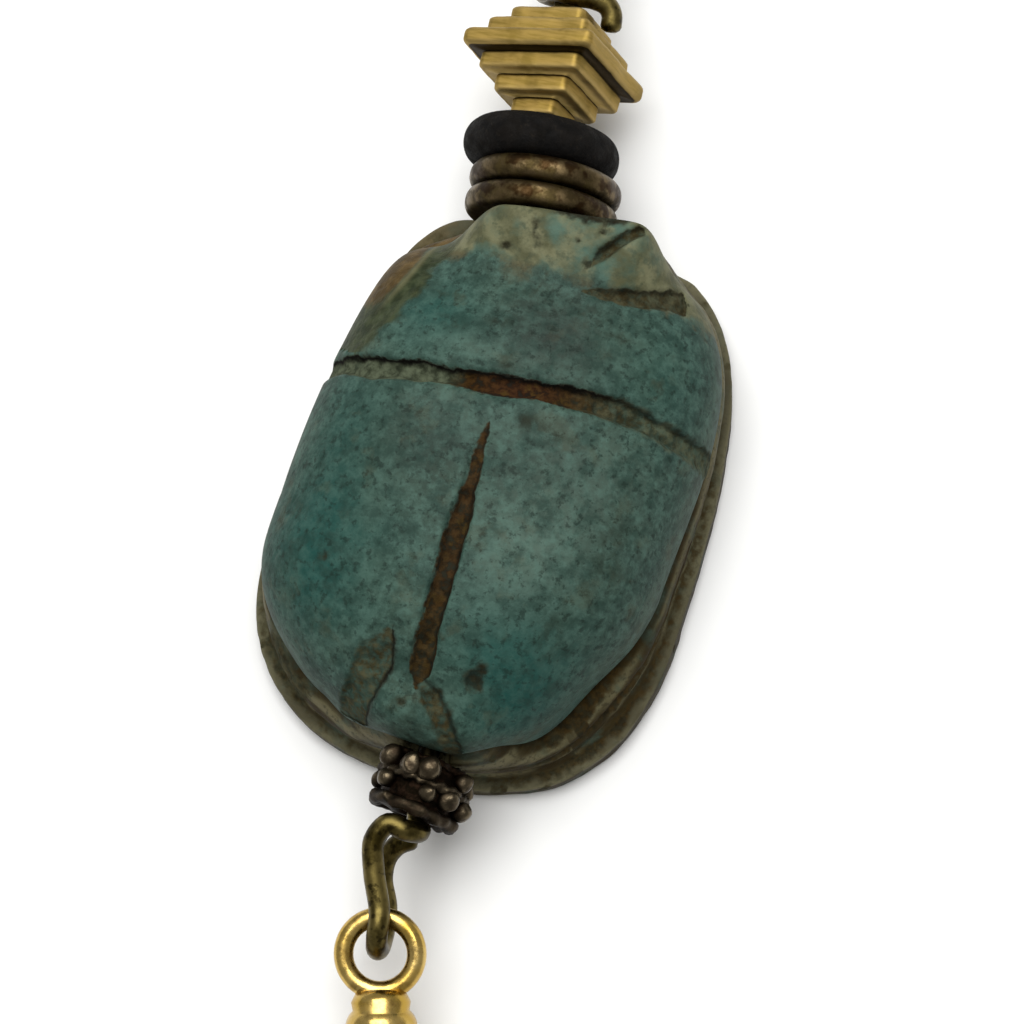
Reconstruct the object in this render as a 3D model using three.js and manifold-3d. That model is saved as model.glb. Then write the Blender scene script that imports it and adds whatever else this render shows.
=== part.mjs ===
// A scarab amulet threaded on a brass wire, in millimetres, lying on the beetle's flat underside.
// The origin is the middle of the underside, +Y points to the beetle's head and +Z is up.

import * as THREE from 'three';
import { mergeVertices } from 'three/addons/utils/BufferGeometryUtils.js';
import Module from 'manifold-3d';

const wasm = await Module();
wasm.setup();

// Beetle: outline of the base, seen from above
const bodyHalfWidth = 8.16;
const bodyTailReach = 10.75;
const bodyHeadReach = 10.9;
const widestPoint = -2.1;
const tailRoundness = 2.55;
const headRoundness = 3.16;
const headOvalBeyond = 0.6;
const leftShoulderFlat = 0.065;
const frontCornerRound = 0.7;
const headSetback = 0.55;

// Beetle: heights from the underside up
const bodyHeight = 8.6;
const rimHeight = 1.15;
const wingEdgeHeight = 3.4;
const headEdgeHeight = 7.1;
const headFlatMiddle = 0.4;
const headFlatHalfWidth = 2.5;
const headFallWidth = 2.7;
const headRiseStart = 3.4;
const headRiseEnd = 0.3;
const tailEdgeHeight = 5.3;
const tailFlatHalfWidth = 1.5;
const tailFallWidth = 2.7;
const tailRiseStart = 3.2;
const tailRiseEnd = 1.2;
const archRoundness = 2.6;

// Beetle: carving
const crossGrooveWidth = 0.85;
const crossGrooveDepth = 0.55;
const sutureWidth = 0.8;
const sutureDepth = 0.55;
const leftTailGrooveWidth = 1.4;
const rightTailGrooveWidth = 0.75;
const tailGrooveDepth = 0.45;
const legGrooveWidth = 1.1;
const legGrooveDepth = 0.8;
const cheekCutWidth = 0.5;
const browCutWidth = 1.1;
const headGrooveDepth = 0.45;

// Wire and the way it runs through the beetle
const wireRadius = 0.4;
const wireTurn = THREE.MathUtils.degToRad(7.3);
const wireOffset = -0.39;
const boreClearance = 0.4;
const boreHeightShare = 0.488;

// Beads on the wire
const threadClearance = 0.3;
const beadGap = 0.06;
const ringRadius = 2.93;
const ringThickness = 0.97;
const ringRimDepth = 0.42;
const ringSquareness = 2.3;
const ringSlack = 0.53;
const discRadius = 3.0;
const discThickness = 1.66;
const discRimDepth = 0.85;
const discSquareness = 2.2;
const discSlack = 0.13;
const goldHalfSide = 2.73;
const goldPlate = 0.7;
const goldInset = 0.57;
const goldCornerRadius = 0.28;
const goldPlatesBelow = 3;
const goldPlatesAbove = 2;
const goldRoll = THREE.MathUtils.degToRad(20);
const goldLean = THREE.MathUtils.degToRad(5);
const spacerCoreRadius = 1.45;
const spacerLength = 2.1;
const spacerLip = 0.26;
const spacerRimDepth = 0.3;
const spacerSquareness = 2.4;
const granuleRadius = 0.48;
const granulesPerRow = 8;
const spacerTuck = 0.36;
const spacerLean = THREE.MathUtils.degToRad(13);

// Wire ends: the wrapped loop at the top and the eye at the bottom
const topLoopRadius = 1.6;
const wrapTurns = 3;
const bottomEyeReach = 5.0;
const eyeClearance = 0.18;

// Gold drop
const eyeRingRadius = 1.35;
const eyeTubeRadius = 0.365;
const neckRadius = 1.1;
const collarRadius = 1.32;
const dropRadius = 2.3;
const dropLength = 7.2;
const dropTurn = THREE.MathUtils.degToRad(17.6);
const tableGap = 0.02;

// The bore runs at the middle of the beetle's height, and everything threaded shares its axis.
const boreHeight = bodyHeight * boreHeightShare;
const boreRadius = wireRadius + boreClearance;
const threadRadius = wireRadius + threadClearance;
const headFace = bodyHeadReach - headSetback;

const glaze = new THREE.MeshStandardMaterial({ color: 0x4b736e, roughness: 0.55, metalness: 0 });
const bronze = new THREE.MeshStandardMaterial({ color: 0x5e4a35, roughness: 0.5, metalness: 0.9 });
const blackStone = new THREE.MeshStandardMaterial({ color: 0x1d1c1b, roughness: 0.85, metalness: 0 });
const brushedGold = new THREE.MeshStandardMaterial({ color: 0xa0823f, roughness: 0.45, metalness: 1 });
const brass = new THREE.MeshStandardMaterial({ color: 0x6f6430, roughness: 0.4, metalness: 1 });
const darkSilver = new THREE.MeshStandardMaterial({ color: 0x3d3429, roughness: 0.45, metalness: 0.9 });
const polishedGold = new THREE.MeshStandardMaterial({ color: 0xd0a24a, roughness: 0.2, metalness: 1 });

// A closed mesh from rings of points: neighbouring rings are joined by quads split in two. The rings
// either close on themselves as a hoop does, or their two ends are closed by a fan.
function loft(rings, hoop) {
  const count = rings[0].length;
  const points = rings.flat();
  const faces = [];
  const bands = hoop ? rings.length : rings.length - 1;
  for (let band = 0; band < bands; band++) {
    const low = band * count;
    const high = ((band + 1) % rings.length) * count;
    for (let i = 0; i < count; i++) {
      const next = (i + 1) % count;
      faces.push(low + i, low + next, high + next);
      faces.push(low + i, high + next, high + i);
    }
  }
  if (!hoop) {
    const first = points.length;
    points.push(middle(rings[0]), middle(rings[rings.length - 1]));
    const last = (rings.length - 1) * count;
    for (let i = 0; i < count; i++) {
      const next = (i + 1) % count;
      faces.push(first, next, i);
      faces.push(first + 1, last + i, last + next);
    }
  }
  const geometry = new THREE.BufferGeometry();
  geometry.setAttribute('position', new THREE.Float32BufferAttribute(points.flatMap((p) => p.toArray()), 3));
  geometry.setIndex(faces);
  return geometry;
}

function middle(ring) {
  const sum = new THREE.Vector3();
  for (const point of ring) sum.add(point);
  return sum.divideScalar(ring.length);
}

// A solid for joining and cutting, from any closed geometry
function solid(geometry) {
  const bare = geometry.clone();
  bare.deleteAttribute('normal');
  bare.deleteAttribute('uv');
  const merged = mergeVertices(bare, 1e-5);
  const mesh = new wasm.Mesh({
    numProp: 3,
    vertProperties: new Float32Array(merged.attributes.position.array),
    triVerts: new Uint32Array(merged.index.array),
  });
  return new wasm.Manifold(mesh);
}

function geometryOf(manifold) {
  const mesh = manifold.getMesh();
  const geometry = new THREE.BufferGeometry();
  geometry.setAttribute('position', new THREE.BufferAttribute(mesh.vertProperties, 3));
  geometry.setIndex(new THREE.BufferAttribute(mesh.triVerts, 1));
  return geometry;
}

function named(name, geometry, material) {
  const mesh = new THREE.Mesh(geometry, material);
  mesh.name = name;
  return mesh;
}

// 0 below the low value, 1 above the high one, and a smooth rise between
function rise(value, low, high) {
  return THREE.MathUtils.smoothstep(value, low, high);
}

// The smaller of two values, with the corner between them rounded over a width
function softMin(a, b, width) {
  const blend = Math.max(width - Math.abs(a - b), 0) / width;
  return Math.min(a, b) - blend * blend * width * 0.25;
}

// The base outline is a rounded oval: one exponent from the widest point to the tail and another to
// the head, where the oval is longer than the body and is cut off nearly straight. The left
// shoulder is flatter than the right one.
const ovalHeadReach = bodyHeadReach + headOvalBeyond;

function outline(angle, scale, cutAt) {
  const across = Math.cos(angle);
  const along = Math.sin(angle);
  const power = 2 / (along > 0 ? headRoundness : tailRoundness);
  const reach = along > 0 ? ovalHeadReach - widestPoint : bodyTailReach + widestPoint;
  const flattened = 1 - leftShoulderFlat * bell(angle, 0.86 * Math.PI, 0.5);
  const x = flattened * scale * bodyHalfWidth * Math.sign(across) * Math.abs(across) ** power;
  const y = widestPoint + scale * reach * Math.sign(along) * Math.abs(along) ** power;
  return new THREE.Vector2(x, softMin(y, cutAt(x), frontCornerRound));
}

// The base ends in a straight front; above it the head is cut square to the wire, for the rings.
const baseFront = () => bodyHeadReach;
const squareToWire = (x) => (headFace + Math.sin(wireTurn) * (x - wireOffset)) / Math.cos(wireTurn);

// How far out the edge of the wing cases lies, as a share of the base outline: nearly at the rim
// along the sides and most so at the right shoulder, further in round the tail and at the two
// corners of the head, and furthest in low on the right, where the hind leg stands free of it.
function wingEdge(angle) {
  const towardsTail = rise(-Math.sin(angle), 0.15, 0.8) - 0.45 * rise(-Math.sin(angle), 0.9, 1);
  const hindLeg = bell(angle, -0.12 * Math.PI, 0.42);
  const tailTip = bell(angle, -0.45 * Math.PI, 0.17);
  const shoulder = bell(angle, 0.17 * Math.PI, 0.38);
  const leftHeadCorner = bell(angle, 0.64 * Math.PI, 0.3);
  const rightHeadCorner = bell(angle, 0.44 * Math.PI, 0.12);
  const cheek = bell(angle, 0.36 * Math.PI, 0.15);
  const inset = 0.085 * towardsTail + 0.115 * hindLeg + 0.08 * leftHeadCorner + 0.02 * cheek;
  const outset = 0.02 * tailTip + 0.025 * shoulder + 0.03 * rightHeadCorner;
  return 0.945 - inset + outset;
}

// 1 at the centre and falling away on both sides, for angles that wrap round
function bell(angle, centre, width) {
  const off = Math.atan2(Math.sin(angle - centre), Math.cos(angle - centre)) / width;
  return Math.exp(-off * off);
}

// The edge of the back is lowest along the wing cases. It rises to the blunt end of the head, and
// at the tail to a face that takes the bore.
function edgeHeight(x, y) {
  const fromMiddle = Math.abs(x - headFlatMiddle);
  const headFall = rise(fromMiddle, headFlatHalfWidth, headFlatHalfWidth + headFallWidth);
  const head = rise(y, headFace - headRiseStart, headFace - headRiseEnd) * (1 - headFall);
  const boreAt = wireOffset + bodyTailReach * Math.tan(wireTurn);
  const tailFall = rise(Math.abs(x - boreAt), tailFlatHalfWidth, tailFlatHalfWidth + tailFallWidth);
  const tail = rise(-y, bodyTailReach - tailRiseStart, bodyTailReach - tailRiseEnd) * (1 - tailFall);
  return wingEdgeHeight + (headEdgeHeight - wingEdgeHeight) * head + (tailEdgeHeight - wingEdgeHeight) * tail;
}

// A point of the back: share is 1 at the edge and 0 at the middle, and the height follows a
// rounded arch from the edge to the crown.
function backPoint(angle, share) {
  const edge = outline(angle, wingEdge(angle), squareToWire);
  const arch = Math.sqrt(1 - share ** archRoundness);
  const x = edge.x * share;
  const y = widestPoint + (edge.y - widestPoint) * share;
  const low = edgeHeight(x, y);
  return new THREE.Vector3(x, y, low + (bodyHeight - low) * arch);
}

// The same surface looked up by plan position: the share is found by halving an interval.
function backAt(x, y) {
  let low = 0;
  let high = 1;
  const angle = directionTo(x, y);
  const target = Math.hypot(x, y - widestPoint);
  for (let step = 0; step < 30; step++) {
    const share = (low + high) / 2;
    const point = backPoint(angle, share);
    if (Math.hypot(point.x, point.y - widestPoint) < target) low = share;
    else high = share;
  }
  return backPoint(angle, low);
}

// The outline's own angle whose ray from the widest point passes through a plan position. It is
// found on the right half, and turned over for a place on the left.
function directionTo(x, y) {
  const target = Math.atan2(y - widestPoint, Math.abs(x));
  const turnedOver = (angle) => (x < 0 ? Math.PI - angle : angle);
  let low = -Math.PI / 2;
  let high = Math.PI / 2;
  for (let step = 0; step < 30; step++) {
    const half = (low + high) / 2;
    const angle = turnedOver(half);
    const edge = outline(angle, wingEdge(angle), squareToWire);
    if (Math.atan2(edge.y - widestPoint, Math.abs(edge.x)) < target) low = half;
    else high = half;
  }
  return turnedOver((low + high) / 2);
}

// The carved beetle before its grooves: the rim of the base, a leg band set in between two
// hollows, the edge of the wing cases and the back.
function uncutBeetle() {
  const segments = 64;
  const rings = [];
  const ring = (place) => {
    const points = [];
    for (let i = 0; i < segments; i++) points.push(place((i / segments) * 2 * Math.PI));
    rings.push(points);
  };
  const level = (scale, height, cutAt) => (angle) => {
    const plan = outline(angle, scale, cutAt);
    return new THREE.Vector3(plan.x, plan.y, height);
  };
  ring(level(0.985, 0, baseFront));
  ring(level(1, 0.18, baseFront));
  ring(level(1, rimHeight - 0.25, baseFront));
  ring(level(0.985, rimHeight, baseFront));

  // From the rim to the wing edge: place is 0 at the rim and 1 at the edge, and out is how far the
  // flank stands beyond the straight line between them, in shares of the outline.
  const flank = (place, out) => (angle) => {
    const scale = 0.965 + (wingEdge(angle) - 0.965) * place + out;
    const plan = outline(angle, scale, squareToWire);
    const top = edgeHeight(plan.x, plan.y);
    return new THREE.Vector3(plan.x, plan.y, rimHeight + 0.06 + (top - rimHeight - 0.06) * place);
  };
  ring(flank(0, -0.012));
  ring(flank(0.2, -0.02));
  ring(flank(0.46, 0.008));
  ring(flank(0.72, 0));
  ring(flank(0.86, -0.02));
  for (const share of [1, 0.985, 0.95, 0.9, 0.83, 0.74, 0.62, 0.48, 0.34, 0.2, 0.08]) {
    ring((angle) => backPoint(angle, share));
  }
  return solid(loft(rings, false));
}

// A cutter for a carved groove: a trapezoid section that follows plan points over the back. Its
// width and depth swell from nothing to full and back as the two tapers say.
function groove(plan, width, depth, taperStart, taperEnd, steps) {
  const curve = new THREE.SplineCurve(plan.map(([x, y]) => new THREE.Vector2(x, y)));
  const rings = [];
  for (let step = 0; step <= steps; step++) {
    const along = step / steps;
    const at = curve.getPoint(along);
    const heading = curve.getTangent(along);
    const side = new THREE.Vector2(-heading.y, heading.x);
    const swell = Math.min(1, 0.12 + along / taperStart, 0.12 + (1 - along) / taperEnd);
    const half = width * 0.5 * swell;
    const corner = (across, down) => {
      const x = at.x + side.x * across;
      const y = at.y + side.y * across;
      const surface = backAt(x, y);
      return new THREE.Vector3(x, y, surface.z - down);
    };
    const floor = half * 0.55;
    const cut = depth * swell;
    rings.push([corner(half, -0.02), corner(-half, -0.02), corner(-floor, cut), corner(floor, cut)]);
    const lid = 1.2;
    const last = rings[rings.length - 1];
    last[0].z += lid;
    last[1].z += lid;
    last.splice(0, 0, corner(half, -0.02));
    last.splice(3, 0, corner(-half, -0.02));
  }
  return solid(loft(rings, false));
}

function beetle() {
  const body = uncutBeetle();
  const w = bodyHalfWidth;
  const l = bodyTailReach;
  const cuts = [
    // Between the thorax and the wing cases
    groove(
      [[-w * 1.02, l * 0.24], [-w * 0.5, l * 0.265], [0, l * 0.3], [w * 0.5, l * 0.33], [w * 1.02, l * 0.3]],
      crossGrooveWidth, crossGrooveDepth, 0.02, 0.02, 24,
    ),
    // Between the two wing cases
    groove(
      [[-w * 0.005, l * 0.17], [w * 0.01, -l * 0.3], [w * 0.02, -l * 0.77]],
      sutureWidth, sutureDepth, 0.45, 0.1, 14,
    ),
    // Either side of the last segment of the body: a broad band on the left, a narrow one on the right
    groove(
      [[-w * 0.15, -l * 0.6], [-w * 0.19, -l * 0.715], [-w * 0.22, -l * 0.79], [-w * 0.26, -l * 0.9]],
      leftTailGrooveWidth, tailGrooveDepth, 0.3, 0.02, 9,
    ),
    groove(
      [[w * 0.02, -l * 0.72], [w * 0.11, -l * 0.793], [w * 0.19, -l * 0.868], [w * 0.25, -l * 0.93]],
      rightTailGrooveWidth, tailGrooveDepth, 0.3, 0.02, 7,
    ),
    // Right side of the head: the cheek between a slanting cut and one that opens into a wedge
    groove(
      [[w * 0.2, l * 0.8], [w * 0.272, l * 0.88], [w * 0.385, l * 0.98]],
      cheekCutWidth, headGrooveDepth, 0.3, 0.05, 6,
    ),
    groove(
      [[w * 0.2, l * 0.712], [w * 0.325, l * 0.722], [w * 0.45, l * 0.748], [w * 0.64, l * 0.81]],
      browCutWidth, headGrooveDepth, 1.2, 0.04, 9,
    ),
  ];
  let carved = body;
  for (const cut of cuts) carved = carved.subtract(cut);
  return named('scarab', geometryOf(carved.subtract(legGroove()).subtract(bore())), glaze);
}

// The deep groove that frees the hind leg from the wing case, low on the right of the tail
function legGroove() {
  const rings = [];
  const steps = 14;
  for (let step = 0; step <= steps; step++) {
    const along = step / steps;
    const angle = THREE.MathUtils.degToRad(THREE.MathUtils.lerp(-4, -66, along));
    const swell = 0.15 + 0.85 * Math.sin(Math.PI * along) ** 0.7;
    const outer = wingEdge(angle) + 0.012;
    const inward = (legGrooveDepth * swell) / bodyHalfWidth;
    const low = wingEdgeHeight - 0.25 - legGrooveWidth * 0.5 * swell;
    const high = wingEdgeHeight - 0.25 + legGrooveWidth * 0.35 * swell;
    const point = (scale, height) => {
      const plan = outline(angle, scale, squareToWire);
      return new THREE.Vector3(plan.x, plan.y, height);
    };
    rings.push([
      point(outer + 0.12, low - 0.25),
      point(outer - inward * 0.6, low + 0.25),
      point(outer - inward, (low + high) / 2),
      point(outer + 0.12, high + 0.2),
    ].reverse());
  }
  return solid(loft(rings, false));
}

function bore() {
  const length = 2 * (bodyHeadReach + bodyTailReach);
  const hole = new THREE.CylinderGeometry(boreRadius, boreRadius, length, 20);
  hole.rotateZ(wireTurn);
  hole.translate(wireOffset, 0, boreHeight);
  return solid(hole);
}

// A turned ring bead about the Y axis, from its bottom face at 0 to its thickness. The rim is a
// half oval, and squareness makes it fuller than round.
function ringBead(radius, hole, thickness, rimDepth, squareness, segments) {
  const half = thickness / 2;
  const profile = [new THREE.Vector2(hole, 0)];
  const steps = 6;
  for (let step = 0; step <= steps; step++) {
    const turn = Math.PI * (step / steps - 0.5);
    const out = Math.abs(Math.cos(turn)) ** (2 / squareness);
    const up = Math.sign(Math.sin(turn)) * Math.abs(Math.sin(turn)) ** (2 / squareness);
    profile.push(new THREE.Vector2(radius - rimDepth + rimDepth * out, half + half * up));
  }
  profile.push(new THREE.Vector2(hole, thickness));
  profile.push(new THREE.Vector2(hole, 0));
  return new THREE.LatheGeometry(profile, segments);
}

// One level of the stepped bead: a square with round corners, seen along the wire
function roundedSquare(half, height, corner) {
  const points = [];
  const steps = 3;
  for (let quarter = 0; quarter < 4; quarter++) {
    for (let step = 0; step <= steps; step++) {
      const turn = (quarter + step / steps) * (Math.PI / 2);
      const centre = new THREE.Vector2(half - corner, half - corner);
      centre.rotateAround(new THREE.Vector2(), (quarter * Math.PI) / 2);
      const x = centre.x + corner * Math.cos(turn);
      const z = centre.y + corner * Math.sin(turn);
      points.push(new THREE.Vector3(x, height, -z));
    }
  }
  return points;
}

function steppedBead() {
  const rings = [];
  for (let plate = -goldPlatesBelow; plate <= goldPlatesAbove; plate++) {
    const half = goldHalfSide - goldInset * Math.abs(plate);
    const bottom = (plate + goldPlatesBelow) * goldPlate;
    rings.push(roundedSquare(half, bottom, goldCornerRadius));
    rings.push(roundedSquare(half, bottom + goldPlate, goldCornerRadius));
  }
  const holeAt = (height) => rings[0].map((point) => {
    const turn = Math.atan2(point.z, point.x);
    return new THREE.Vector3(threadRadius * Math.cos(turn), height, threadRadius * Math.sin(turn));
  });
  rings.push(holeAt(goldLength()), holeAt(0));
  return loft(rings, true);
}

function goldLength() {
  return (goldPlatesBelow + 1 + goldPlatesAbove) * goldPlate;
}

// A spacer bead: a plain tube with two rows of granules, and a plain rim below them
function granulatedBead() {
  const tube = ringBead(
    spacerCoreRadius, threadRadius, spacerLength, spacerRimDepth, spacerSquareness, 12,
  );
  let bead = solid(tube);
  for (let row = 0; row < 2; row++) {
    const height = spacerLength * (row ? 0.78 : 0.4);
    for (let i = 0; i < granulesPerRow; i++) {
      const turn = ((i + row / 2) / granulesPerRow) * 2 * Math.PI;
      const granule = new THREE.OctahedronGeometry(granuleRadius, 1);
      const out = spacerCoreRadius + granuleRadius * 0.3;
      granule.translate(out * Math.cos(turn), height, out * Math.sin(turn));
      bead = bead.add(solid(granule));
    }
  }
  const lip = new THREE.TorusGeometry(spacerCoreRadius + spacerLip * 0.2, spacerLip, 5, 14);
  lip.rotateX(Math.PI / 2);
  lip.translate(0, spacerLip * 0.5, 0);
  return geometryOf(bead.add(solid(lip)));
}

// Round wire along a list of points: its section is carried along without twisting, and both ends
// are slightly rounded.
function wireAlong(points, radius, sides) {
  const path = points.slice();
  const nose = radius * 0.35;
  const start = path[0].clone().sub(path[1]).setLength(nose).add(path[0]);
  const beforeLast = path[path.length - 2];
  const end = path[path.length - 1].clone().sub(beforeLast).setLength(nose).add(path[path.length - 1]);
  path.unshift(start);
  path.push(end);
  const rings = [];
  let side = new THREE.Vector3(0, 0, 1);
  for (let i = 0; i < path.length; i++) {
    const before = path[Math.max(i - 1, 0)];
    const after = path[Math.min(i + 1, path.length - 1)];
    const heading = after.clone().sub(before).normalize();
    side = side.clone().addScaledVector(heading, -side.dot(heading)).normalize();
    const up = heading.clone().cross(side);
    const atEnd = i === 0 || i === path.length - 1;
    const size = atEnd ? radius * 0.65 : radius;
    const ring = [];
    for (let k = 0; k < sides; k++) {
      const turn = (k / sides) * 2 * Math.PI;
      const point = path[i].clone();
      point.addScaledVector(side, size * Math.cos(turn));
      point.addScaledVector(up, size * Math.sin(turn));
      ring.push(point);
    }
    rings.push(ring);
  }
  return loft(rings, false);
}

// Places along the wire, from the beetle's bore outwards, each bead seated on the one before
const lowerRingAt = headFace + beadGap;
const upperRingAt = lowerRingAt + ringThickness + beadGap;
const discAt = upperRingAt + ringThickness + beadGap;
const leanRoom = (goldHalfSide - goldInset * goldPlatesBelow) * Math.SQRT2 * Math.sin(goldLean);
const goldAt = discAt + discThickness + beadGap + leanRoom;
const wrapAt = goldAt + goldLength() + beadGap + leanRoom * 1.5;
const spacerTop = -(bodyTailReach - spacerTuck);
const spacerBottom = spacerTop - spacerLength;

// The wire's route in its own frame: Y runs along the stem, and Z is up.
function wireRoute() {
  const route = [];
  const wrapRadius = 2 * wireRadius * 1.12;
  const pitch = 2 * wireRadius * 1.08;
  const neck = wrapAt + wireRadius + wrapTurns * pitch;

  // The cut end is bent down beside the top plate of the gold bead. From there the wire passes
  // over the front and climbs round the stem.
  const polar = (out, turn, height) => new THREE.Vector3(out * Math.cos(turn), height, out * Math.sin(turn));
  const beside = goldHalfSide - goldInset * goldPlatesAbove + wireRadius + 0.15;
  route.push(polar(beside, goldRoll, wrapAt - goldPlate * 0.6));
  route.push(polar(beside, goldRoll + 0.04, wrapAt));
  route.push(polar(beside * 0.93, goldRoll + 0.14, wrapAt + wireRadius * 0.8));
  route.push(polar(beside * 0.75, goldRoll + 0.4, wrapAt + wireRadius * 1.15));
  route.push(polar(beside * 0.57, goldRoll + 0.8, wrapAt + wireRadius * 1.15));
  const perTurn = 9;
  const first = goldRoll + 1.4;
  const last = 2 * Math.PI * wrapTurns;
  const steps = Math.round((perTurn * (last - first)) / (2 * Math.PI));
  for (let step = 0; step <= steps; step++) {
    const turn = THREE.MathUtils.lerp(first, last, step / steps);
    route.push(polar(wrapRadius, turn, neck - (pitch * (last - turn)) / (2 * Math.PI)));
  }

  // The loop: once round in the flat, from the right of the neck to the left of it
  const loopCentre = neck + topLoopRadius + 3.1 * wireRadius;
  for (let step = 0; step <= 16; step++) {
    const turn = THREE.MathUtils.degToRad(-58 + step * (298 / 16));
    route.push(new THREE.Vector3(
      topLoopRadius * Math.cos(turn), loopCentre + topLoopRadius * Math.sin(turn), 0,
    ));
  }
  route.push(new THREE.Vector3(-wireRadius * 0.6, neck + wireRadius * 1.1, 0));
  route.push(new THREE.Vector3(0, neck - wireRadius * 0.6, 0));

  // The stem runs straight through the beads and out below the spacer, then the eye.
  route.push(new THREE.Vector3(0, spacerTop + 0.5, 0));
  return route.concat(bottomEye());
}

// The eye at the bottom: out of the spacer, over to the left and down, round through the ring of
// the gold drop, and up behind to a cut end tucked under the stem. The bends are given in wire
// thicknesses, across, below the spacer and up.
const eyeTurn = eyeTubeRadius + wireRadius + eyeClearance;
const eyeFront = 0.525 * 2 * wireRadius;
const eyeBack = eyeFront - 2 * eyeTurn;
const eyeTurnAt = spacerBottom - bottomEyeReach + eyeTurn;
const eyeShift = -0.8 * 2 * wireRadius;

function bottomEye() {
  const bend = (across, below, up) => new THREE.Vector3(
    across * 2 * wireRadius, spacerBottom - below * 2 * wireRadius, up * 2 * wireRadius,
  );
  const behind = (across, below, up) => bend(across, below, up).add(new THREE.Vector3(0, 0, eyeBack));
  const points = [
    new THREE.Vector3(0, spacerTop - spacerLength * 0.5, 0),
    bend(0.04, 0.15, 0.05), bend(0.3, 0.72, 0.5), bend(-0.28, 0.84, 1.2), bend(-1.05, 0.68, 1.3),
    bend(-1.6, 1.5, 1.1), bend(-1.4, 2.9, 0.8),
    new THREE.Vector3(eyeShift * 1.12, eyeTurnAt + eyeTurn * 0.5, eyeFront),
  ];
  for (let step = 0; step <= 6; step++) {
    const turn = (step / 6) * Math.PI;
    points.push(new THREE.Vector3(
      eyeShift, eyeTurnAt - eyeTurn * Math.sin(turn), eyeFront - eyeTurn * (1 - Math.cos(turn)),
    ));
  }
  points.push(new THREE.Vector3(eyeShift * 1.12, eyeTurnAt + eyeTurn * 0.8, eyeBack));
  points.push(
    behind(-1.32, 2.9, 0.12), behind(-1.22, 1.9, 0.44), behind(-0.8, 1.3, 0.66), behind(-0.25, 0.98, 0.75),
  );
  return new THREE.CatmullRomCurve3(points, false, 'centripetal').getPoints(40);
}

// The ring of the gold drop hangs in the bottom of that eye.
function eyeCentre() {
  return new THREE.Vector3(eyeShift * 0.8, eyeTurnAt - eyeTurn * 1.15, (eyeFront + eyeBack) / 2);
}

// Profile of the gold drop from its tip up to the middle of its eye ring, as radius and distance
function dropProfile() {
  const ringFoot = -(eyeRingRadius + eyeTubeRadius * 0.2);
  const collarAt = ringFoot - neckRadius * 0.35 - collarRadius * 0.62;
  const waistAt = collarAt - collarRadius * 0.72;
  const profile = [new THREE.Vector2(0, ringFoot + eyeTubeRadius * 0.5)];
  profile.push(new THREE.Vector2(neckRadius * 0.8, ringFoot + eyeTubeRadius * 0.3));
  profile.push(new THREE.Vector2(neckRadius, ringFoot - neckRadius * 0.3));
  for (let step = 1; step <= 6; step++) {
    const turn = Math.PI * (0.18 + 0.64 * (step / 6));
    const up = collarRadius * 0.7 * Math.cos(turn);
    profile.push(new THREE.Vector2(collarRadius * Math.sin(turn), collarAt + up));
  }
  const steps = 11;
  for (let step = 0; step <= steps; step++) {
    const along = 1 - (1 - step / steps) ** 1.35;
    const belly = Math.sin(Math.PI * along ** 1.75) ** 0.62;
    const waist = 0.62 * neckRadius * (1 - along) ** 2;
    const out = step === steps ? 0 : waist * (1 - belly) + dropRadius * belly;
    profile.push(new THREE.Vector2(out, waistAt - dropLength * along));
  }
  return profile.reverse();
}

function goldDrop() {
  const body = solid(new THREE.LatheGeometry(dropProfile(), 18));
  const ring = solid(new THREE.TorusGeometry(eyeRingRadius, eyeTubeRadius, 7, 20));
  return named('gold_drop', geometryOf(body.add(ring)), polishedGold);
}

// The drop leans from its eye until its belly all but touches the table.
function dropLean(eyeHeight) {
  const profile = dropProfile();
  let low = -1.2;
  let high = 1.2;
  for (let step = 0; step < 40; step++) {
    const lean = (low + high) / 2;
    const depths = profile.map((p) => eyeHeight + p.y * Math.sin(lean) - p.x * Math.cos(lean));
    if (Math.min(...depths) > tableGap) low = lean;
    else high = lean;
  }
  return low;
}

function threadedPieces() {
  const group = new THREE.Group();
  group.position.set(wireOffset, 0, boreHeight);
  group.rotation.z = wireTurn;

  const ringHole = threadRadius + ringSlack;
  const ring = () => ringBead(
    ringRadius, ringHole, ringThickness, ringRimDepth, ringSquareness, 22,
  );
  const lower = named('bronze_ring_lower', ring(), bronze);
  lower.position.set(ringSlack, lowerRingAt, 0);
  const upper = named('bronze_ring_upper', ring(), bronze);
  upper.position.set(ringSlack, upperRingAt, 0);

  const discShape = ringBead(
    discRadius, threadRadius + discSlack, discThickness, discRimDepth, discSquareness, 24,
  );
  const disc = named('black_disc_bead', discShape, blackStone);
  disc.position.set(discSlack, discAt, 0);

  const gold = named('stepped_gold_bead', steppedBead(), brushedGold);
  gold.rotation.y = -goldRoll;
  gold.position.y = -goldLength() / 2;
  const leaning = new THREE.Group();
  leaning.position.y = goldAt + goldLength() / 2;
  leaning.setRotationFromAxisAngle(new THREE.Vector3(Math.cos(goldRoll), 0, Math.sin(goldRoll)), -goldLean);
  leaning.add(gold);

  const spacer = named('granulated_spacer', granulatedBead(), darkSilver);
  spacer.position.y = -spacerLength / 2;
  const askew = new THREE.Group();
  askew.position.y = spacerBottom + spacerLength / 2;
  askew.rotation.z = -spacerLean;
  askew.add(spacer);

  const wire = named('brass_wire', wireAlong(wireRoute(), wireRadius, 7), brass);
  group.add(lower, upper, disc, leaning, askew, wire);
  return group;
}

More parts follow.
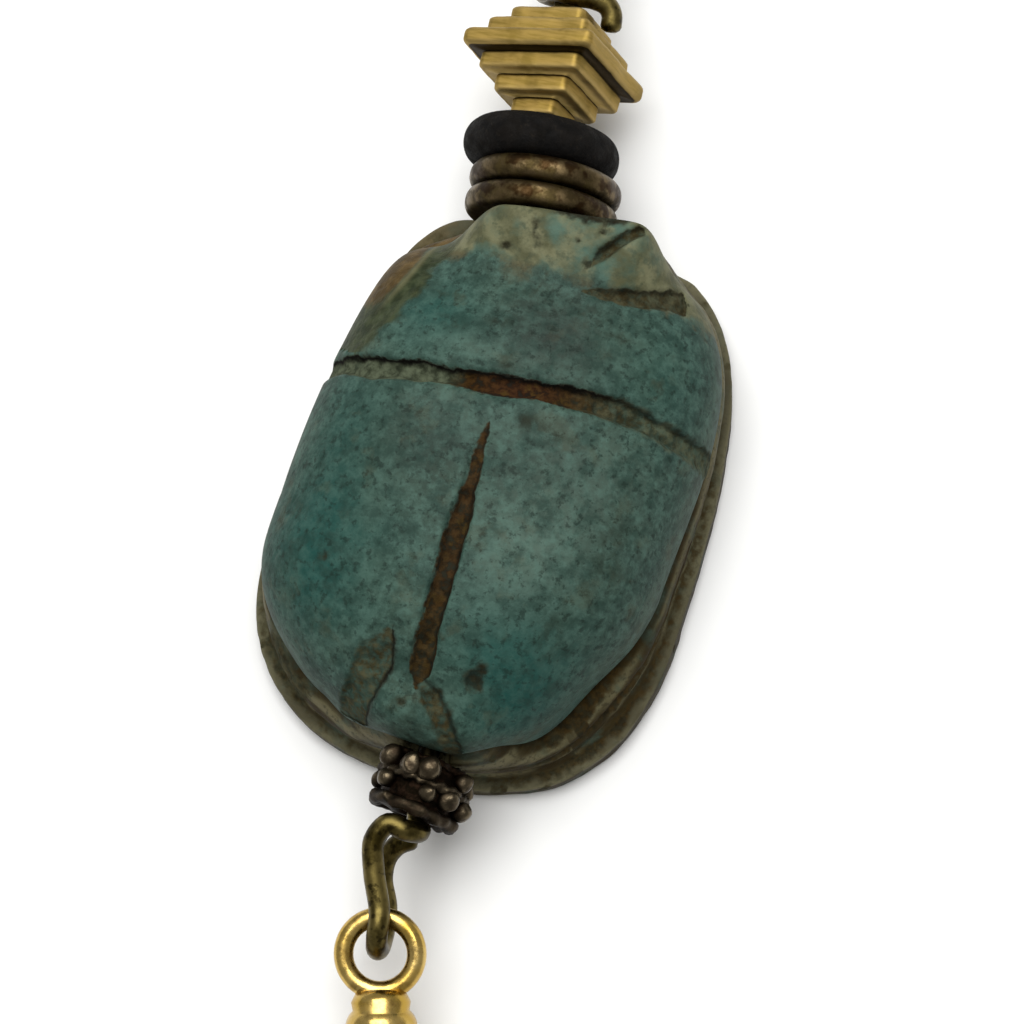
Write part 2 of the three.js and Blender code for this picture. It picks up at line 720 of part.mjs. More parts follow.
function hangingDrop() {
  const eye = eyeCentre();
  eye.applyAxisAngle(new THREE.Vector3(0, 0, 1), wireTurn);
  const place = new THREE.Group();
  place.position.set(wireOffset + eye.x, eye.y, boreHeight + eye.z);
  place.rotation.z = dropTurn;
  const leaning = new THREE.Group();
  leaning.rotation.x = dropLean(boreHeight + eye.z);
  leaning.add(goldDrop());
  place.add(leaning);
  return place;
}

const amulet = new THREE.Group();
amulet.name = 'scarab_amulet';
amulet.add(beetle(), threadedPieces(), hangingDrop());

export default amulet;
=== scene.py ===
from math import cos, pi, radians, sin, sqrt

import bpy
import numpy as np
from mathutils import Matrix, Vector


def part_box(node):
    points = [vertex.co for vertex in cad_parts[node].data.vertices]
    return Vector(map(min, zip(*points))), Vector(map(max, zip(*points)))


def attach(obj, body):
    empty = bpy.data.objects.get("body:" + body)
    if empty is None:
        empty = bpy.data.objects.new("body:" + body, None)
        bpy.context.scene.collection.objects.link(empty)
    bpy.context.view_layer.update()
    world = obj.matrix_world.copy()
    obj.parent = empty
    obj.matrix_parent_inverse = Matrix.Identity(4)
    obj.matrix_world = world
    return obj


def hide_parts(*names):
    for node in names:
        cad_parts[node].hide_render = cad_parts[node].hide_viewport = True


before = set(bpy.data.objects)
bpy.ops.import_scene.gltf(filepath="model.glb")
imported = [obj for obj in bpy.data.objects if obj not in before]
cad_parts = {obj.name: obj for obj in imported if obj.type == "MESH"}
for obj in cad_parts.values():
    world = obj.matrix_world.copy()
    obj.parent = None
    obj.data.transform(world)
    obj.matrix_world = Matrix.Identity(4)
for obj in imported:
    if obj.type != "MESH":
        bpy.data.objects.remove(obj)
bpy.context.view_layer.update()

mm = 0.001

# Camera
# It looks down on the amulet from the right and a little from the tail, rolled so that the head
# leans to the right, close enough that one millimetre is about 27 pixels of the photograph.
azimuth = radians(8.53)
tip_to_tail = radians(10.2)
roll = radians(17.53)
distance = 147.7 * mm
aim = Vector((1.12, -0.45, 4.0)) * mm
photo_width = 1024
pixels_per_mm = 26.8
toward = Vector((sin(azimuth) * cos(tip_to_tail), -sin(tip_to_tail),
                 cos(azimuth) * cos(tip_to_tail)))
level = Vector((0, 1, 0)).cross(toward).normalized()
right = cos(roll) * level + sin(roll) * toward.cross(level)
upward = toward.cross(right)
lens = bpy.data.cameras.new("photo_view")
lens.sensor_width = 36
lens.lens = lens.sensor_width * pixels_per_mm * distance / mm / photo_width
lens.clip_start = 0.01
lens.clip_end = 5
camera = bpy.data.objects.new("photo_view", lens)
turned_to_view = Matrix((right, upward, toward)).transposed().to_4x4()
camera.matrix_world = Matrix.Translation(aim + toward * distance) @ turned_to_view
bpy.context.collection.objects.link(camera)
bpy.context.scene.camera = camera


# Table and light
# A plain pale table top of matt laminate under one broad soft lamp, which hangs overhead and a
# little beyond the head and to the left, in a dim even room.
def linear(colour):
    """One sRGB hex colour as linear red, green, blue and alpha."""
    parts = [int(colour[i:i + 2], 16) / 255 for i in (1, 3, 5)]
    return tuple(c / 12.92 if c <= 0.04045 else ((c + 0.055) / 1.055) ** 2.4 for c in parts) + (1.0,)


def add_node(tree, kind, inputs=None, **settings):
    """Adds a node, sets its settings, and fills its inputs with values or links."""
    node = tree.nodes.new(kind)
    for name, value in settings.items():
        setattr(node, name, value)
    for name, value in (inputs or {}).items():
        if isinstance(value, bpy.types.NodeSocket):
            tree.links.new(value, node.inputs[name])
        else:
            node.inputs[name].default_value = value
    return node


def new_material(name, **surface):
    """An empty material with a Principled shader, whose uniform values are set on the shader."""
    material = bpy.data.materials.new(name)
    material.use_nodes = True
    tree = material.node_tree
    tree.nodes.clear()
    shader = add_node(tree, "ShaderNodeBsdfPrincipled", surface)
    add_node(tree, "ShaderNodeOutputMaterial", {"Surface": shader.outputs["BSDF"]})
    return material, tree, shader


table_size = 0.9
table_mesh = bpy.data.meshes.new("table_top")
corner = table_size / 2
table_corners = [(x * corner, y * corner, 0) for x, y in ((-1, -1), (1, -1), (1, 1), (-1, 1))]
table_mesh.from_pydata(table_corners, [], [(0, 1, 2, 3)])
table = bpy.data.objects.new("table_top", table_mesh)
bpy.context.collection.objects.link(table)
laminate, tree, shader = new_material("matt_white_laminate", **{"Roughness": 0.7})
grain = add_node(tree, "ShaderNodeTexNoise", {"Scale": 1 / (3 * mm), "Detail": 2.0})
tint = add_node(tree, "ShaderNodeMix", {0: grain.outputs[0], 6: linear("#ededeb"),
                                        7: linear("#f1f1ef")}, data_type="RGBA")
tree.links.new(tint.outputs[2], shader.inputs["Base Color"])
table_mesh.materials.append(laminate)


def soft_lamp(name, place, size, power):
    """A square area lamp at a place in metres that faces the amulet."""
    data = bpy.data.lights.new(name, "AREA")
    data.size = size
    data.energy = power
    lamp = bpy.data.objects.new(name, data)
    lamp.location = place
    lamp.rotation_euler = (Vector((0, 0, 0.004)) - Vector(place)).to_track_quat("-Z", "Y").to_euler()
    bpy.context.collection.objects.link(lamp)


soft_lamp("ceiling_lamp", place=(-0.06, 0.14, 0.5), size=0.46, power=3.6)
room = bpy.data.worlds.new("bright_room")
room.use_nodes = True
room.node_tree.nodes["Background"].inputs["Color"].default_value = (1, 1, 1, 1)
room.node_tree.nodes["Background"].inputs["Strength"].default_value = 0.36
bpy.context.scene.world = room
bpy.context.scene.view_settings.view_transform = "Standard"


# Scarab
# A beetle carved from soapstone and glazed blue-green. The glaze is worn and mottled, brown earth
# sits in the cuts, and the base, the flanks and the head have lost most of their colour.
low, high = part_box("scarab")
half_width = high.x / mm
tail_reach = -low.y / mm
head_reach = high.y / mm
height = high.z / mm
widest = -2.1
rim_height = 1.15
flank_foot = rim_height + 0.06
wing_edge_height = 3.4
head_edge_height = 7.1
tail_edge_height = 5.3
wire_turn = radians(7.3)
wire_offset = -0.39
wire_radius = 0.4
bore_height = 0.488 * height
bore_radius = 0.8
bore_depth = 1.6
head_setback = 0.55
head_face = head_reach - head_setback
head_power = 3.16
tail_power = 2.55
corner_softness = 0.7


def rise(value, start, end):
    """0 below start, 1 above end and a smooth cubic rise between."""
    share = np.clip((value - start) / (end - start), 0, 1)
    return share * share * (3 - 2 * share)


def bell(value, centre, width):
    """1 at the centre, falling away on both sides as a Gaussian curve."""
    return np.exp(-((value - centre) / width) ** 2)


def round_bell(angle, centre, width):
    """A bell over angles, which wrap round."""
    return bell(np.arctan2(np.sin(angle - centre), np.cos(angle - centre)), 0, width)


def signed_power(value, power):
    """The size of a value raised to a power, with the value's sign kept."""
    return np.sign(value) * np.abs(value) ** power


def outline(angle, scale, front):
    """Plan of the beetle: two half ovals, each of its own power, that meet at the widest point,
    with the head end cut straight by a front line and the corner there softened. The left
    shoulder is flattened a little."""
    across, along = np.cos(angle), np.sin(angle)
    to_head = along > 0
    power = np.where(to_head, 2 / head_power, 2 / tail_power)
    reach = np.where(to_head, head_reach + 0.6 - widest, tail_reach + widest)
    flattened = 1 - 0.065 * round_bell(angle, 0.86 * pi, 0.5)
    x = flattened * scale * half_width * signed_power(across, power)
    y = widest + scale * reach * signed_power(along, power)
    limit = front(x)
    blend = np.clip(corner_softness - np.abs(y - limit), 0, None) / corner_softness
    return x, np.minimum(y, limit) - blend * blend * corner_softness * 0.25


def straight_front(x):
    """The head end of the base: a line straight across, at the reach of the head."""
    return head_reach + 0 * x


def front_square_to_wire(x):
    """The head end of the back: a line square to the wire, which crosses it at the head's face."""
    return (head_face + sin(wire_turn) * (x - wire_offset)) / cos(wire_turn)


def wing_edge(angle):
    """How far out the edge of the back lies, as a share of the base outline."""
    to_tail = rise(-np.sin(angle), 0.15, 0.8) - 0.45 * rise(-np.sin(angle), 0.9, 1)
    inset = (0.085 * to_tail + 0.115 * round_bell(angle, -0.12 * pi, 0.42)
             + 0.08 * round_bell(angle, 0.64 * pi, 0.3) + 0.02 * round_bell(angle, 0.36 * pi, 0.15))
    outset = (0.02 * round_bell(angle, -0.45 * pi, 0.17) + 0.025 * round_bell(angle, 0.17 * pi, 0.38)
              + 0.03 * round_bell(angle, 0.44 * pi, 0.12))
    return 0.945 - inset + outset


def edge_height(x, y):
    """Height of the edge of the back: low along the wings, higher at the head and at the tail."""
    head = rise(y, head_face - 3.4, head_face - 0.3) * (1 - rise(np.abs(x - 0.4), 2.5, 5.2))
    bore_at = wire_offset + tail_reach * np.tan(wire_turn)
    tail = rise(-y, tail_reach - 3.2, tail_reach - 1.2) * (1 - rise(np.abs(x - bore_at), 1.5, 4.2))
    return (wing_edge_height + (head_edge_height - wing_edge_height) * head
            + (tail_edge_height - wing_edge_height) * tail)


def ripple(points, size, seed):
    """Even noise from -1 to 1 with lumps of a given size: a sum of plane waves in random
    directions with random phases."""
    chance = np.random.default_rng(seed)
    waves = chance.normal(size=(24, 3))
    waves /= np.linalg.norm(waves, axis=1)[:, None]
    waves *= (pi / size) * chance.uniform(0.55, 1.5, (24, 1))
    return np.cos(points @ waves.T + chance.uniform(0, 2 * pi, 24)).sum(1) / sqrt(24)


def along_cut(x, y, places, samples=70):
    """For each plan point, its signed distance from a smooth line through the places, and how far
    along that line it lies from 0 to 1. The line is a Catmull-Rom curve."""
    places = np.array(places, float)
    ends = np.vstack([places[0], places, places[-1]])
    t = np.linspace(0, len(places) - 1, samples)
    i = np.minimum(t.astype(int), len(places) - 2)
    f = (t - i)[:, None]
    a, b, c, d = ends[i], ends[i + 1], ends[i + 2], ends[i + 3]
    line = 0.5 * (2 * b + (c - a) * f + (2 * a - 5 * b + 4 * c - d) * f ** 2
                  + (3 * b - a - 3 * c + d) * f ** 3)
    gap = (x[:, None] - line[:, 0]) ** 2 + (y[:, None] - line[:, 1]) ** 2
    near = gap.argmin(1)
    heading = np.gradient(line, axis=0)[near]
    offset = np.stack([x, y], 1) - line[near]
    side = heading[:, 0] * offset[:, 1] - heading[:, 1] * offset[:, 0]
    side = side / np.linalg.norm(heading, axis=1)
    beyond = np.sqrt(gap.min(1))
    return np.where(beyond > np.abs(side) + 0.08, beyond, side), near / (samples - 1)


def carved(x, y, places, width, depth, taper, seed, ragged=0.12):
    """Depth of a carved groove, how far inside its edge each point lies in millimetres, and the
    side it lies on. The walls lean, the width swells along the line, and the edges wander."""
    side, along = along_cut(x, y, places)
    swell = np.clip(np.minimum(0.12 + along / taper[0], 0.12 + (1 - along) / taper[1]), 0, 1)
    points = np.stack([x, y, 0 * x], 1)
    wander = 1 + ragged * ripple(points, 1.3, seed) + 0.3 * ragged * ripple(points, 0.55, seed + 1)
    inside = 0.5 * width * swell * wander - np.abs(side)
    return depth * swell * rise(inside, -0.08, 0.2), inside, side


def mesh_piece(name, points, faces, slot, *nodes):
    """A mesh object at the origin from points in millimetres, which replaces CAD nodes."""
    mesh = bpy.data.meshes.new(name)
    mesh.vertices.add(len(points))
    mesh.vertices.foreach_set("co", (np.asarray(points) * mm).astype(np.float32).ravel())
    sizes = np.concatenate([np.full(len(group), group.shape[1]) for group in faces])
    corners = np.concatenate([group.ravel() for group in faces])
    mesh.loops.add(len(corners))
    mesh.loops.foreach_set("vertex_index", corners.astype(np.int32))
    mesh.polygons.add(len(sizes))
    mesh.polygons.foreach_set("loop_start", (np.cumsum(sizes) - sizes).astype(np.int32))
    mesh.update(calc_edges=True)
    mesh.validate()
    mesh.shade_smooth()
    piece = bpy.data.objects.new(name, mesh)
    bpy.context.collection.objects.link(piece)
    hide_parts(*nodes)
    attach(piece, "root")
    return piece


def mark(piece, name, values):
    """A value between 0 and 1 for each point of a piece, for its material to read."""
    layer = piece.data.attributes.new(name, "FLOAT", "POINT")
    layer.data.foreach_set("value", np.clip(values, 0, 1).astype(np.float32))


def bands(rows, count, first=0):
    """Quads between rows of points that each go once round."""
    row = np.arange(rows - 1)[:, None] * count + first
    i = np.arange(count)
    j = (i + 1) % count
    return np.stack([row + i, row + j, row + count + j, row + count + i], -1).reshape(-1, 4)


# The back is a square grid wrapped to a disc: distance from the grid's middle becomes the share of
# the way out to the edge, and the direction becomes the angle of the outline.
cells = 216
line = np.linspace(-1, 1, cells + 1)
across, along = np.meshgrid(line, line)
out = np.maximum(np.abs(across), np.abs(along))
sideways = np.abs(across) > np.abs(along)
safe_across = np.where(np.abs(across) < 1e-9, 1e-9, across)
safe_along = np.where(np.abs(along) < 1e-9, 1e-9, along)
angle = np.where(sideways, pi / 4 * along / safe_across, pi / 2 - pi / 4 * across / safe_along)
angle = angle + np.where(np.where(sideways, across, along) < 0, pi, 0)
share = out * (1.25 - 0.25 * out ** 4)
edge_x, edge_y = outline(angle, wing_edge(angle), front_square_to_wire)
back_x = (edge_x * share).ravel()
back_y = (widest + (edge_y - widest) * share).ravel()
arch = np.sqrt(np.clip(1 - share ** 2.6, 0, 1)).ravel()
back_low = edge_height(back_x, back_y)
back = np.stack([back_x, back_y, back_low + (height - back_low) * arch], 1)
index = np.arange((cells + 1) ** 2).reshape(cells + 1, cells + 1)
back_faces = np.stack([index[:-1, :-1], index[:-1, 1:], index[1:, 1:], index[1:, :-1]], -1)
back_faces = back_faces.reshape(-1, 4)
loop = np.concatenate([index[0, :-1], index[:-1, -1], index[-1, :0:-1], index[:0:-1, 0]])
loop_angle = angle.ravel()[loop]

# Carving on the back, as shares of the half width and of the reach to the tail
w, t = half_width, tail_reach
cross = [(-w * 1.02, t * 0.24), (-w * 0.5, t * 0.265), (0, t * 0.3), (w * 0.5, t * 0.33),
         (w * 1.02, t * 0.3)]
suture = [(-w * 0.005, t * 0.17), (w * 0.01, -t * 0.3), (w * 0.02, -t * 0.77)]
left_tail = [(-w * 0.15, -t * 0.6), (-w * 0.19, -t * 0.715), (-w * 0.22, -t * 0.79),
             (-w * 0.26, -t * 0.9)]
right_tail = [(w * 0.02, -t * 0.72), (w * 0.11, -t * 0.793), (w * 0.19, -t * 0.868),
              (w * 0.25, -t * 0.93)]
cheek = [(w * 0.2, t * 0.8), (w * 0.272, t * 0.88), (w * 0.385, t * 0.98)]
brow = [(w * 0.2, t * 0.712), (w * 0.325, t * 0.722), (w * 0.45, t * 0.748), (w * 0.64, t * 0.81)]
to_right = rise(back_x, 3.2, 4.8)
to_left = 1 - rise(back_x, -2.2, -1.3)
# Each cut: its line, width, depth, how soon it widens from each end and its seed, then how full
# of earth it is, how red and how grey that earth is, and how dark the painted shade under its
# steeper edge is.
cuts = [
    (*carved(back_x, back_y, cross, 0.85, 0.5, (0.02, 0.02), 11), 1 - 0.25 * to_right,
     bell(back_x, 0.7, 2.2), np.maximum(to_left, 0.8 * rise(back_x, 1.6, 5.4)), 1 - 0.4 * to_right),
    (*carved(back_x, back_y, suture, 0.8, 0.5, (0.45, 0.1), 21, 0.16), 1,
     0.6 - 0.3 * rise(-back_y, 4, 6.5), 0.1, 0.5),
    (*carved(back_x, back_y, left_tail, 1.4, 0.34, (0.3, 0.02), 31, 0.07), 0.62, 0, 0.45, 1.0),
    (*carved(back_x, back_y, right_tail, 0.75, 0.36, (0.3, 0.02), 41, 0.07), 0.7, 0.1, 0.45, 0.6),
    (*carved(back_x, back_y, cheek, 0.5, 0.34, (0.3, 0.05), 51), 0.8, 0, 0.4, 0.5),
    (*carved(back_x, back_y, brow, 1.1, 0.4, (1.2, 0.04), 61), 0.92, 0.2, 0.45, 0.5),
]
count = len(back)
depths, insides, sides, fills, reds, greys, lines = (
    np.array([np.broadcast_to(cut[part], count) for cut in cuts]) for part in range(7))
nearest = insides.argmax(0)
pick = lambda values: values[nearest, np.arange(count)]
inside_cut = pick(insides)
under_edge = np.where(pick(sides) > 0, inside_cut, 1)
earth_fill, earth_red, earth_grey, painted_edge_shade = pick(fills), pick(reds), pick(greys), pick(lines)
back_cut = depths.max(0)
earth_cuts = rise(inside_cut, 0, 0.2)

# Pits and scratches that show in the photograph: place, radius and depth
pits = [(2.16, -7.37, 0.42, 0.26), (2.3, -7.0, 0.25, 0.12), (-1.62, 8.54, 0.16, 0.12),
        (-0.48, 8.81, 0.17, 0.14), (-0.07, 7.3, 0.15, 0.05), (0.95, 10.2, 0.2, 0.14),
        (1.78, 9.98, 0.19, 0.16), (1.72, 10.22, 0.17, 0.14), (1.0, 9.35, 0.12, 0.06),
        (1.55, 8.65, 0.18, 0.1), (-4.4, -4.6, 0.12, 0.06), (-0.2, -8.85, 0.13, 0.14)]
pits += [(-0.88 + 0.36 * step, 9.89 - 0.98 * step, 0.03 + 0.05 * step, 0.07)
         for step in np.linspace(0, 1, 9)]
pit_depth = np.zeros(count)
for pit_x, pit_y, pit_radius, depth in pits:
    reach = np.hypot(back_x - pit_x, back_y - pit_y)
    pit_depth = np.maximum(pit_depth, depth * (1 - rise(reach, 0.3 * pit_radius, 1.25 * pit_radius)))
    inside_cut = np.maximum(inside_cut, 0.8 * pit_radius - reach)
flat = np.stack([back_x, back_y, 0 * back_x], 1)
pit_depth += (0.05 * rise(ripple(flat, 0.28, 76), 1.3, 2.2)
              + 0.04 * rise(ripple(flat, 0.17, 77), 1.4, 2.2))

# The front edge of the head, under the ring, is chipped and dirty, and painted shade from the ring
# lies along it; the left of the thorax is planed off along a line, with the skin worn to olive
# outside it.
from_front = front_square_to_wire(back_x) - back_y
front_earth_and_shade = 0.4 * rise(back_x, -1.4, 1.0) * (1 - rise(back_x, 2.3, 2.8)) - from_front
inside_cut = np.maximum(inside_cut, front_earth_and_shade)
in_pit = inside_cut > pick(insides) + 0.01
earth_red = np.where(in_pit, 0.8 * (front_earth_and_shade > -0.1), earth_red)
earth_grey = np.where(in_pit, 0.6, earth_grey)
# The pits and the head's front edge get painted shade all across them, at 0.65 of full darkness.
under_edge = np.where(in_pit, 0, under_edge)
painted_edge_shade = np.where(in_pit, 0.65, painted_edge_shade)
facet_line = [(-3.2, 10.2), (-3.36, 9.17), (-3.53, 7.93), (-3.73, 6.68), (-4.18, 5.43), (-4.8, 4.28),
              (-5.6, 3.2)]
facet_side, _ = along_cut(back_x, back_y, facet_line)
beyond_facet = np.where((back_y > 3.0) & (back_x < 0), -facet_side, -1.0)

# Earth fills the cuts unevenly, and the surface has the slow waves of hand rubbing.
fill = 0.12 * ripple(back, 0.45, 71) + 0.07 * ripple(back, 0.2, 72)
waves = 0.04 * ripple(back, 3.2, 73) + 0.016 * ripple(back, 0.9, 74) + 0.007 * ripple(back, 0.3, 75)
along_facet = rise(back_y, 4.6, 6.4) * (1 - rise(back_y, 8.4, 9.6))
ridge = 0.06 * bell(beyond_facet, 1.1, 0.16) * along_facet - 0.1 * rise(beyond_facet, 0.2, 0.8)
inner = 1 - rise(share.ravel(), 0.97, 1)
back[:, 2] += (waves + fill * earth_cuts * 0.8 + ridge) * inner - back_cut - pit_depth

# The flank goes down from the edge of the back to the rim of the base. It stands out as a leg
# between a hollow under the wings, deepest at the right of the tail, and a groove above the rim.
flank_rows = 30
place = np.linspace(1, 0, flank_rows + 1)[1:, None]
turn = loop_angle[None, :]
leg_groove = round_bell(turn, radians(-36), 0.5)
left_hollow = 0.5 * round_bell(turn, radians(-150), 0.5)
right_side = round_bell(turn, radians(-28), 0.75)
out_from_line = (-0.012 * bell(place, 0, 0.12) - 0.02 * bell(place, 0.18, 0.12)
                 + 0.01 * bell(place, 0.5, 0.2)
                 - (0.02 + 0.06 * leg_groove) * bell(place, 0.86, 0.12)
                 - 0.016 * right_side * bell(place, 0.42, 0.07)
                 - 0.012 * left_hollow * bell(place, 0.5, 0.2))
scale = 0.965 + (wing_edge(turn) - 0.965) * place + out_from_line
flank_x, flank_y = outline(turn + 0 * place, scale, front_square_to_wire)
flank_z = flank_foot + (edge_height(flank_x, flank_y) - flank_foot) * place
rim_turn = np.linspace(0, pi / 2, 5)[:, None]
rim_scale = np.concatenate([0.985 + 0.015 * np.sin(rim_turn), np.full((4, 1), 1.0),
                            1 - 0.015 * np.sin(rim_turn)])
rim_z = np.concatenate([rim_height - 0.22 * (1 - np.cos(rim_turn)),
                        np.linspace(0.8, 0.3, 4)[:, None], 0.18 * np.cos(rim_turn)])
rim_x, rim_y = outline(turn + 0 * rim_scale, rim_scale, straight_front)
base_scale = np.linspace(0.94, 0.12, 7)[:, None]
base_x, base_y = outline(turn + 0 * base_scale, base_scale, straight_front)
side = np.concatenate([
    np.stack([flank_x, flank_y, flank_z], -1).reshape(-1, 3),
    np.stack([rim_x, rim_y, rim_z + 0 * rim_x], -1).reshape(-1, 3),
    np.stack([base_x, base_y, 0 * base_x], -1).reshape(-1, 3),
    [[0, widest, 0]],
])
around = len(loop)
side_rows = len(side) // around
raised = side[:, 2] > 0.15
outward = np.stack([side[:, 0], side[:, 1] - widest], 1)
outward /= np.maximum(np.linalg.norm(outward, axis=1), 1e-6)[:, None]
sway = np.minimum(-0.03 + 0.028 * ripple(side, 1.6, 81) + 0.012 * ripple(side, 0.45, 82), 0)
side[:, :2] += outward * (sway * raised)[:, None]

beetle_points = np.concatenate([back, side])
beetle_faces = [back_faces]
first = len(back)
i = np.arange(around)
j = (i + 1) % around
beetle_faces.append(np.stack([loop[j], loop[i], first + i, first + j], -1))
beetle_faces.append(bands(side_rows, around, first)[:, ::-1])
centre = len(beetle_points) - 1
last_row = first + (side_rows - 1) * around
tip_faces = np.stack([last_row + j, last_row + i, np.full(around, centre)], -1)

# The bore: points of the two end faces that lie inside it are pushed in along the wire.
wire_along = np.array([-sin(wire_turn), cos(wire_turn), 0])
wire_across = np.array([cos(wire_turn), sin(wire_turn), 0])
wire_start = np.array([wire_offset, 0, bore_height])
from_wire = beetle_points - wire_start
off_axis = np.hypot(from_wire @ wire_across, from_wire[:, 2])
bored = 1 - rise(off_axis, bore_radius * 0.9, bore_radius * 1.1)
near_end = np.abs(beetle_points[:, 1]) > 6
inward = np.where(from_wire @ wire_along > 0, -bore_depth, bore_depth) * bored * near_end
beetle_points = beetle_points + wire_along * inward[:, None]

scarab = mesh_piece("scarab_glazed", beetle_points, beetle_faces + [tip_faces], "glazed_steatite",
                    "scarab")

# What the material reads at each point. On the sides, earth lies in the hollow under the wings,
# in a groove halfway down, above the rim, in a few spots and in one stuck lump at the left.
x, y = beetle_points[:, 0], beetle_points[:, 1]
on_back = np.arange(len(beetle_points)) < len(back)
full = lambda values, rest: np.concatenate([np.broadcast_to(values, len(back)),
                                            np.broadcast_to(rest, len(side))])
side_place = np.concatenate([np.repeat(place.ravel(), around),
                             np.zeros(len(side) - flank_rows * around)])
side_angle = np.concatenate([np.tile(loop_angle, side_rows), [0]])
side_z = side[:, 2]
span = edge_height(side[:, 0], side[:, 1]) - rim_height
streak_at = np.stack([side_z, 0.9 * side_angle, 0 * side_z], 1)
streaks = ripple(streak_at, 0.3, 91) + 0.6 * ripple(streak_at * [1, 1.6, 1], 0.14, 95)
low_right = round_bell(side_angle, radians(-40), 0.52)
right_of = round_bell(side_angle, radians(-20), 0.8)
under_wing = (0.1 + 0.42 * low_right) - np.abs(side_place - 0.87) * span
between = 0.22 * right_of - np.abs(side_place - 0.42) * span
above_rim = 0.13 + 0.1 * low_right - np.abs(side_z - flank_foot)
spots = 0.5 * rise(ripple(side, 0.8, 93), 1.2, 1.9) * (side_z > 0.3) - 0.2
off_rim = 4 * (side_z - rim_height) - 0.12
hollows = np.minimum(np.max([under_wing, between, above_rim], axis=0), off_rim) + 0.07 * streaks
band_from, band_to = np.array([-6.35, -7.6]), np.array([-4.77, -8.91])
band = band_to - band_from
band_along = np.clip((side[:, :2] - band_from) @ band / (band ** 2).sum(), 0, 1)
from_band = np.linalg.norm(side[:, :2] - band_from - band_along[:, None] * band, axis=1)
stuck_earth = np.where(side_z > 1.2, 0.36 - from_band + 0.12 * ripple(side, 0.5, 94), -0.5)
side_cut = np.max([hollows, spots - 0.1, stuck_earth], axis=0)
side_cut = np.where(side_z > 0.2, side_cut, -0.5)

# How far inside a cut, kept as half the millimetres above 0.5 so that the cut's edge is at 0.5,
# what earth lies there and how soft its edge is
mark(scarab, "cut", 0.5 + 0.5 * full(inside_cut, side_cut))
# Where the painted shade lies under a cut's steeper edge, and how dark it is
mark(scarab, "under_edge", 0.5 + 0.5 * full(under_edge, 1))
mark(scarab, "painted_edge_shade", full(painted_edge_shade, 0))
mark(scarab, "earth_fill", full(earth_fill, 0.55 + 0.45 * np.maximum(low_right, from_band < 0.6)))
softness = np.array([to_right, *np.broadcast_to([[0], [0.8], [0.8], [0.35], [0.15]], (5, count))])
soft_edge = np.where(in_pit, 0.9, pick(softness))
mark(scarab, "soft_edge", full(soft_edge, 1))
mark(scarab, "earth_red", full(earth_red, 0.12))
mark(scarab, "earth_grey", full(earth_grey, 0.42 - 0.32 * right_of))

# Where the glaze is gone, which is most of the head, the facet and the sides
crown = rise(y, 7.2, 8.8) * (1 - 0.5 * rise(x, -0.7, 0.6) * (1 - rise(x, 2.1, 2.9)))
mark(scarab, "bare", np.where(on_back, np.clip(0.95 * crown, 0, 1), 0.98))
mark(scarab, "pale_head", np.where(on_back, rise(y, 7.8, 8.8), 0))
by_left_shoulder = round_bell(side_angle, radians(130), 0.55)
mark(scarab, "facet", full(rise(beyond_facet, -0.2, 0.9), 0.9 * by_left_shoulder))
rust = rise(beyond_facet, 1.05, 1.45) * rise(back_y, 4.5, 6.5)
side_rust = by_left_shoulder * rise(side_z, 0.5, 1.0)
mark(scarab, "rust_rim", full(rust, side_rust))
mark(scarab, "facet_ridge", full(bell(beyond_facet, 1.1, 0.12) * along_facet, 0))
edge_wear = full(0.15 * bell(share.ravel(), 0.985, 0.02),
                 0.8 * bell(side_place, 1, 0.05) + bell(side_z, rim_height, 0.14))
mark(scarab, "worn_edge", edge_wear)
ridges = bell(side_place, 0.64, 0.1) + bell(side_place, 0.2, 0.1) + bell(side_z, 1.05, 0.12)
mark(scarab, "streak", full(0.5, 0.34 + 0.24 * streaks + 0.45 * ridges - 0.12 * right_of))

# Where the photograph shows the glaze bluer, greyer, lighter or stained
spread = lambda px, py, wide, tall: bell(x, px, wide) * bell(y, py, tall)
mark(scarab, "teal", 0.75 * spread(-3.2, 5.3, 2.0, 1.6) + 0.5 * spread(4.6, 5.4, 2.2, 1.8)
     + 1.15 * spread(3.4, -6.5, 2.6, 2.6) + spread(-4.6, -4.5, 2.6, 3.2)
     + 0.5 * spread(-5.0, 0.5, 1.8, 2.5))
mark(scarab, "grey", spread(1.2, 5.6, 2.0, 1.9) + 0.5 * spread(3.5, 0.5, 2.6, 2.2)
     + 0.5 * spread(-2.0, 0.6, 2.4, 2.0))
mark(scarab, "light", 0.75 * spread(2.6, -2.8, 2.3, 2.6) + 0.4 * spread(4.6, 0.2, 1.6, 2.0)
     + 0.4 * spread(-1.5, 4.3, 3.2, 0.6) + 0.35 * spread(0.5, 2.0, 5.0, 1.0))
stains = sum(deep * spread(*at) for *at, deep in (
    (1.3, 2.1, 0.5, 0.35, 0.9), (2.3, 1.9, 0.45, 0.4, 0.7), (3.5, 6.3, 0.5, 0.14, 0.8),
    (-0.93, 5.6, 0.45, 0.2, 0.7), (-2.5, 5.0, 0.5, 0.2, 0.6), (-0.1, 3.95, 0.3, 0.2, 0.8),
    (5.4, -1.4, 0.7, 1.8, 0.45), (4.2, -4.9, 0.5, 1.2, 0.5), (1.7, 8.1, 0.7, 0.15, 0.5)))
mark(scarab, "stain", stains)

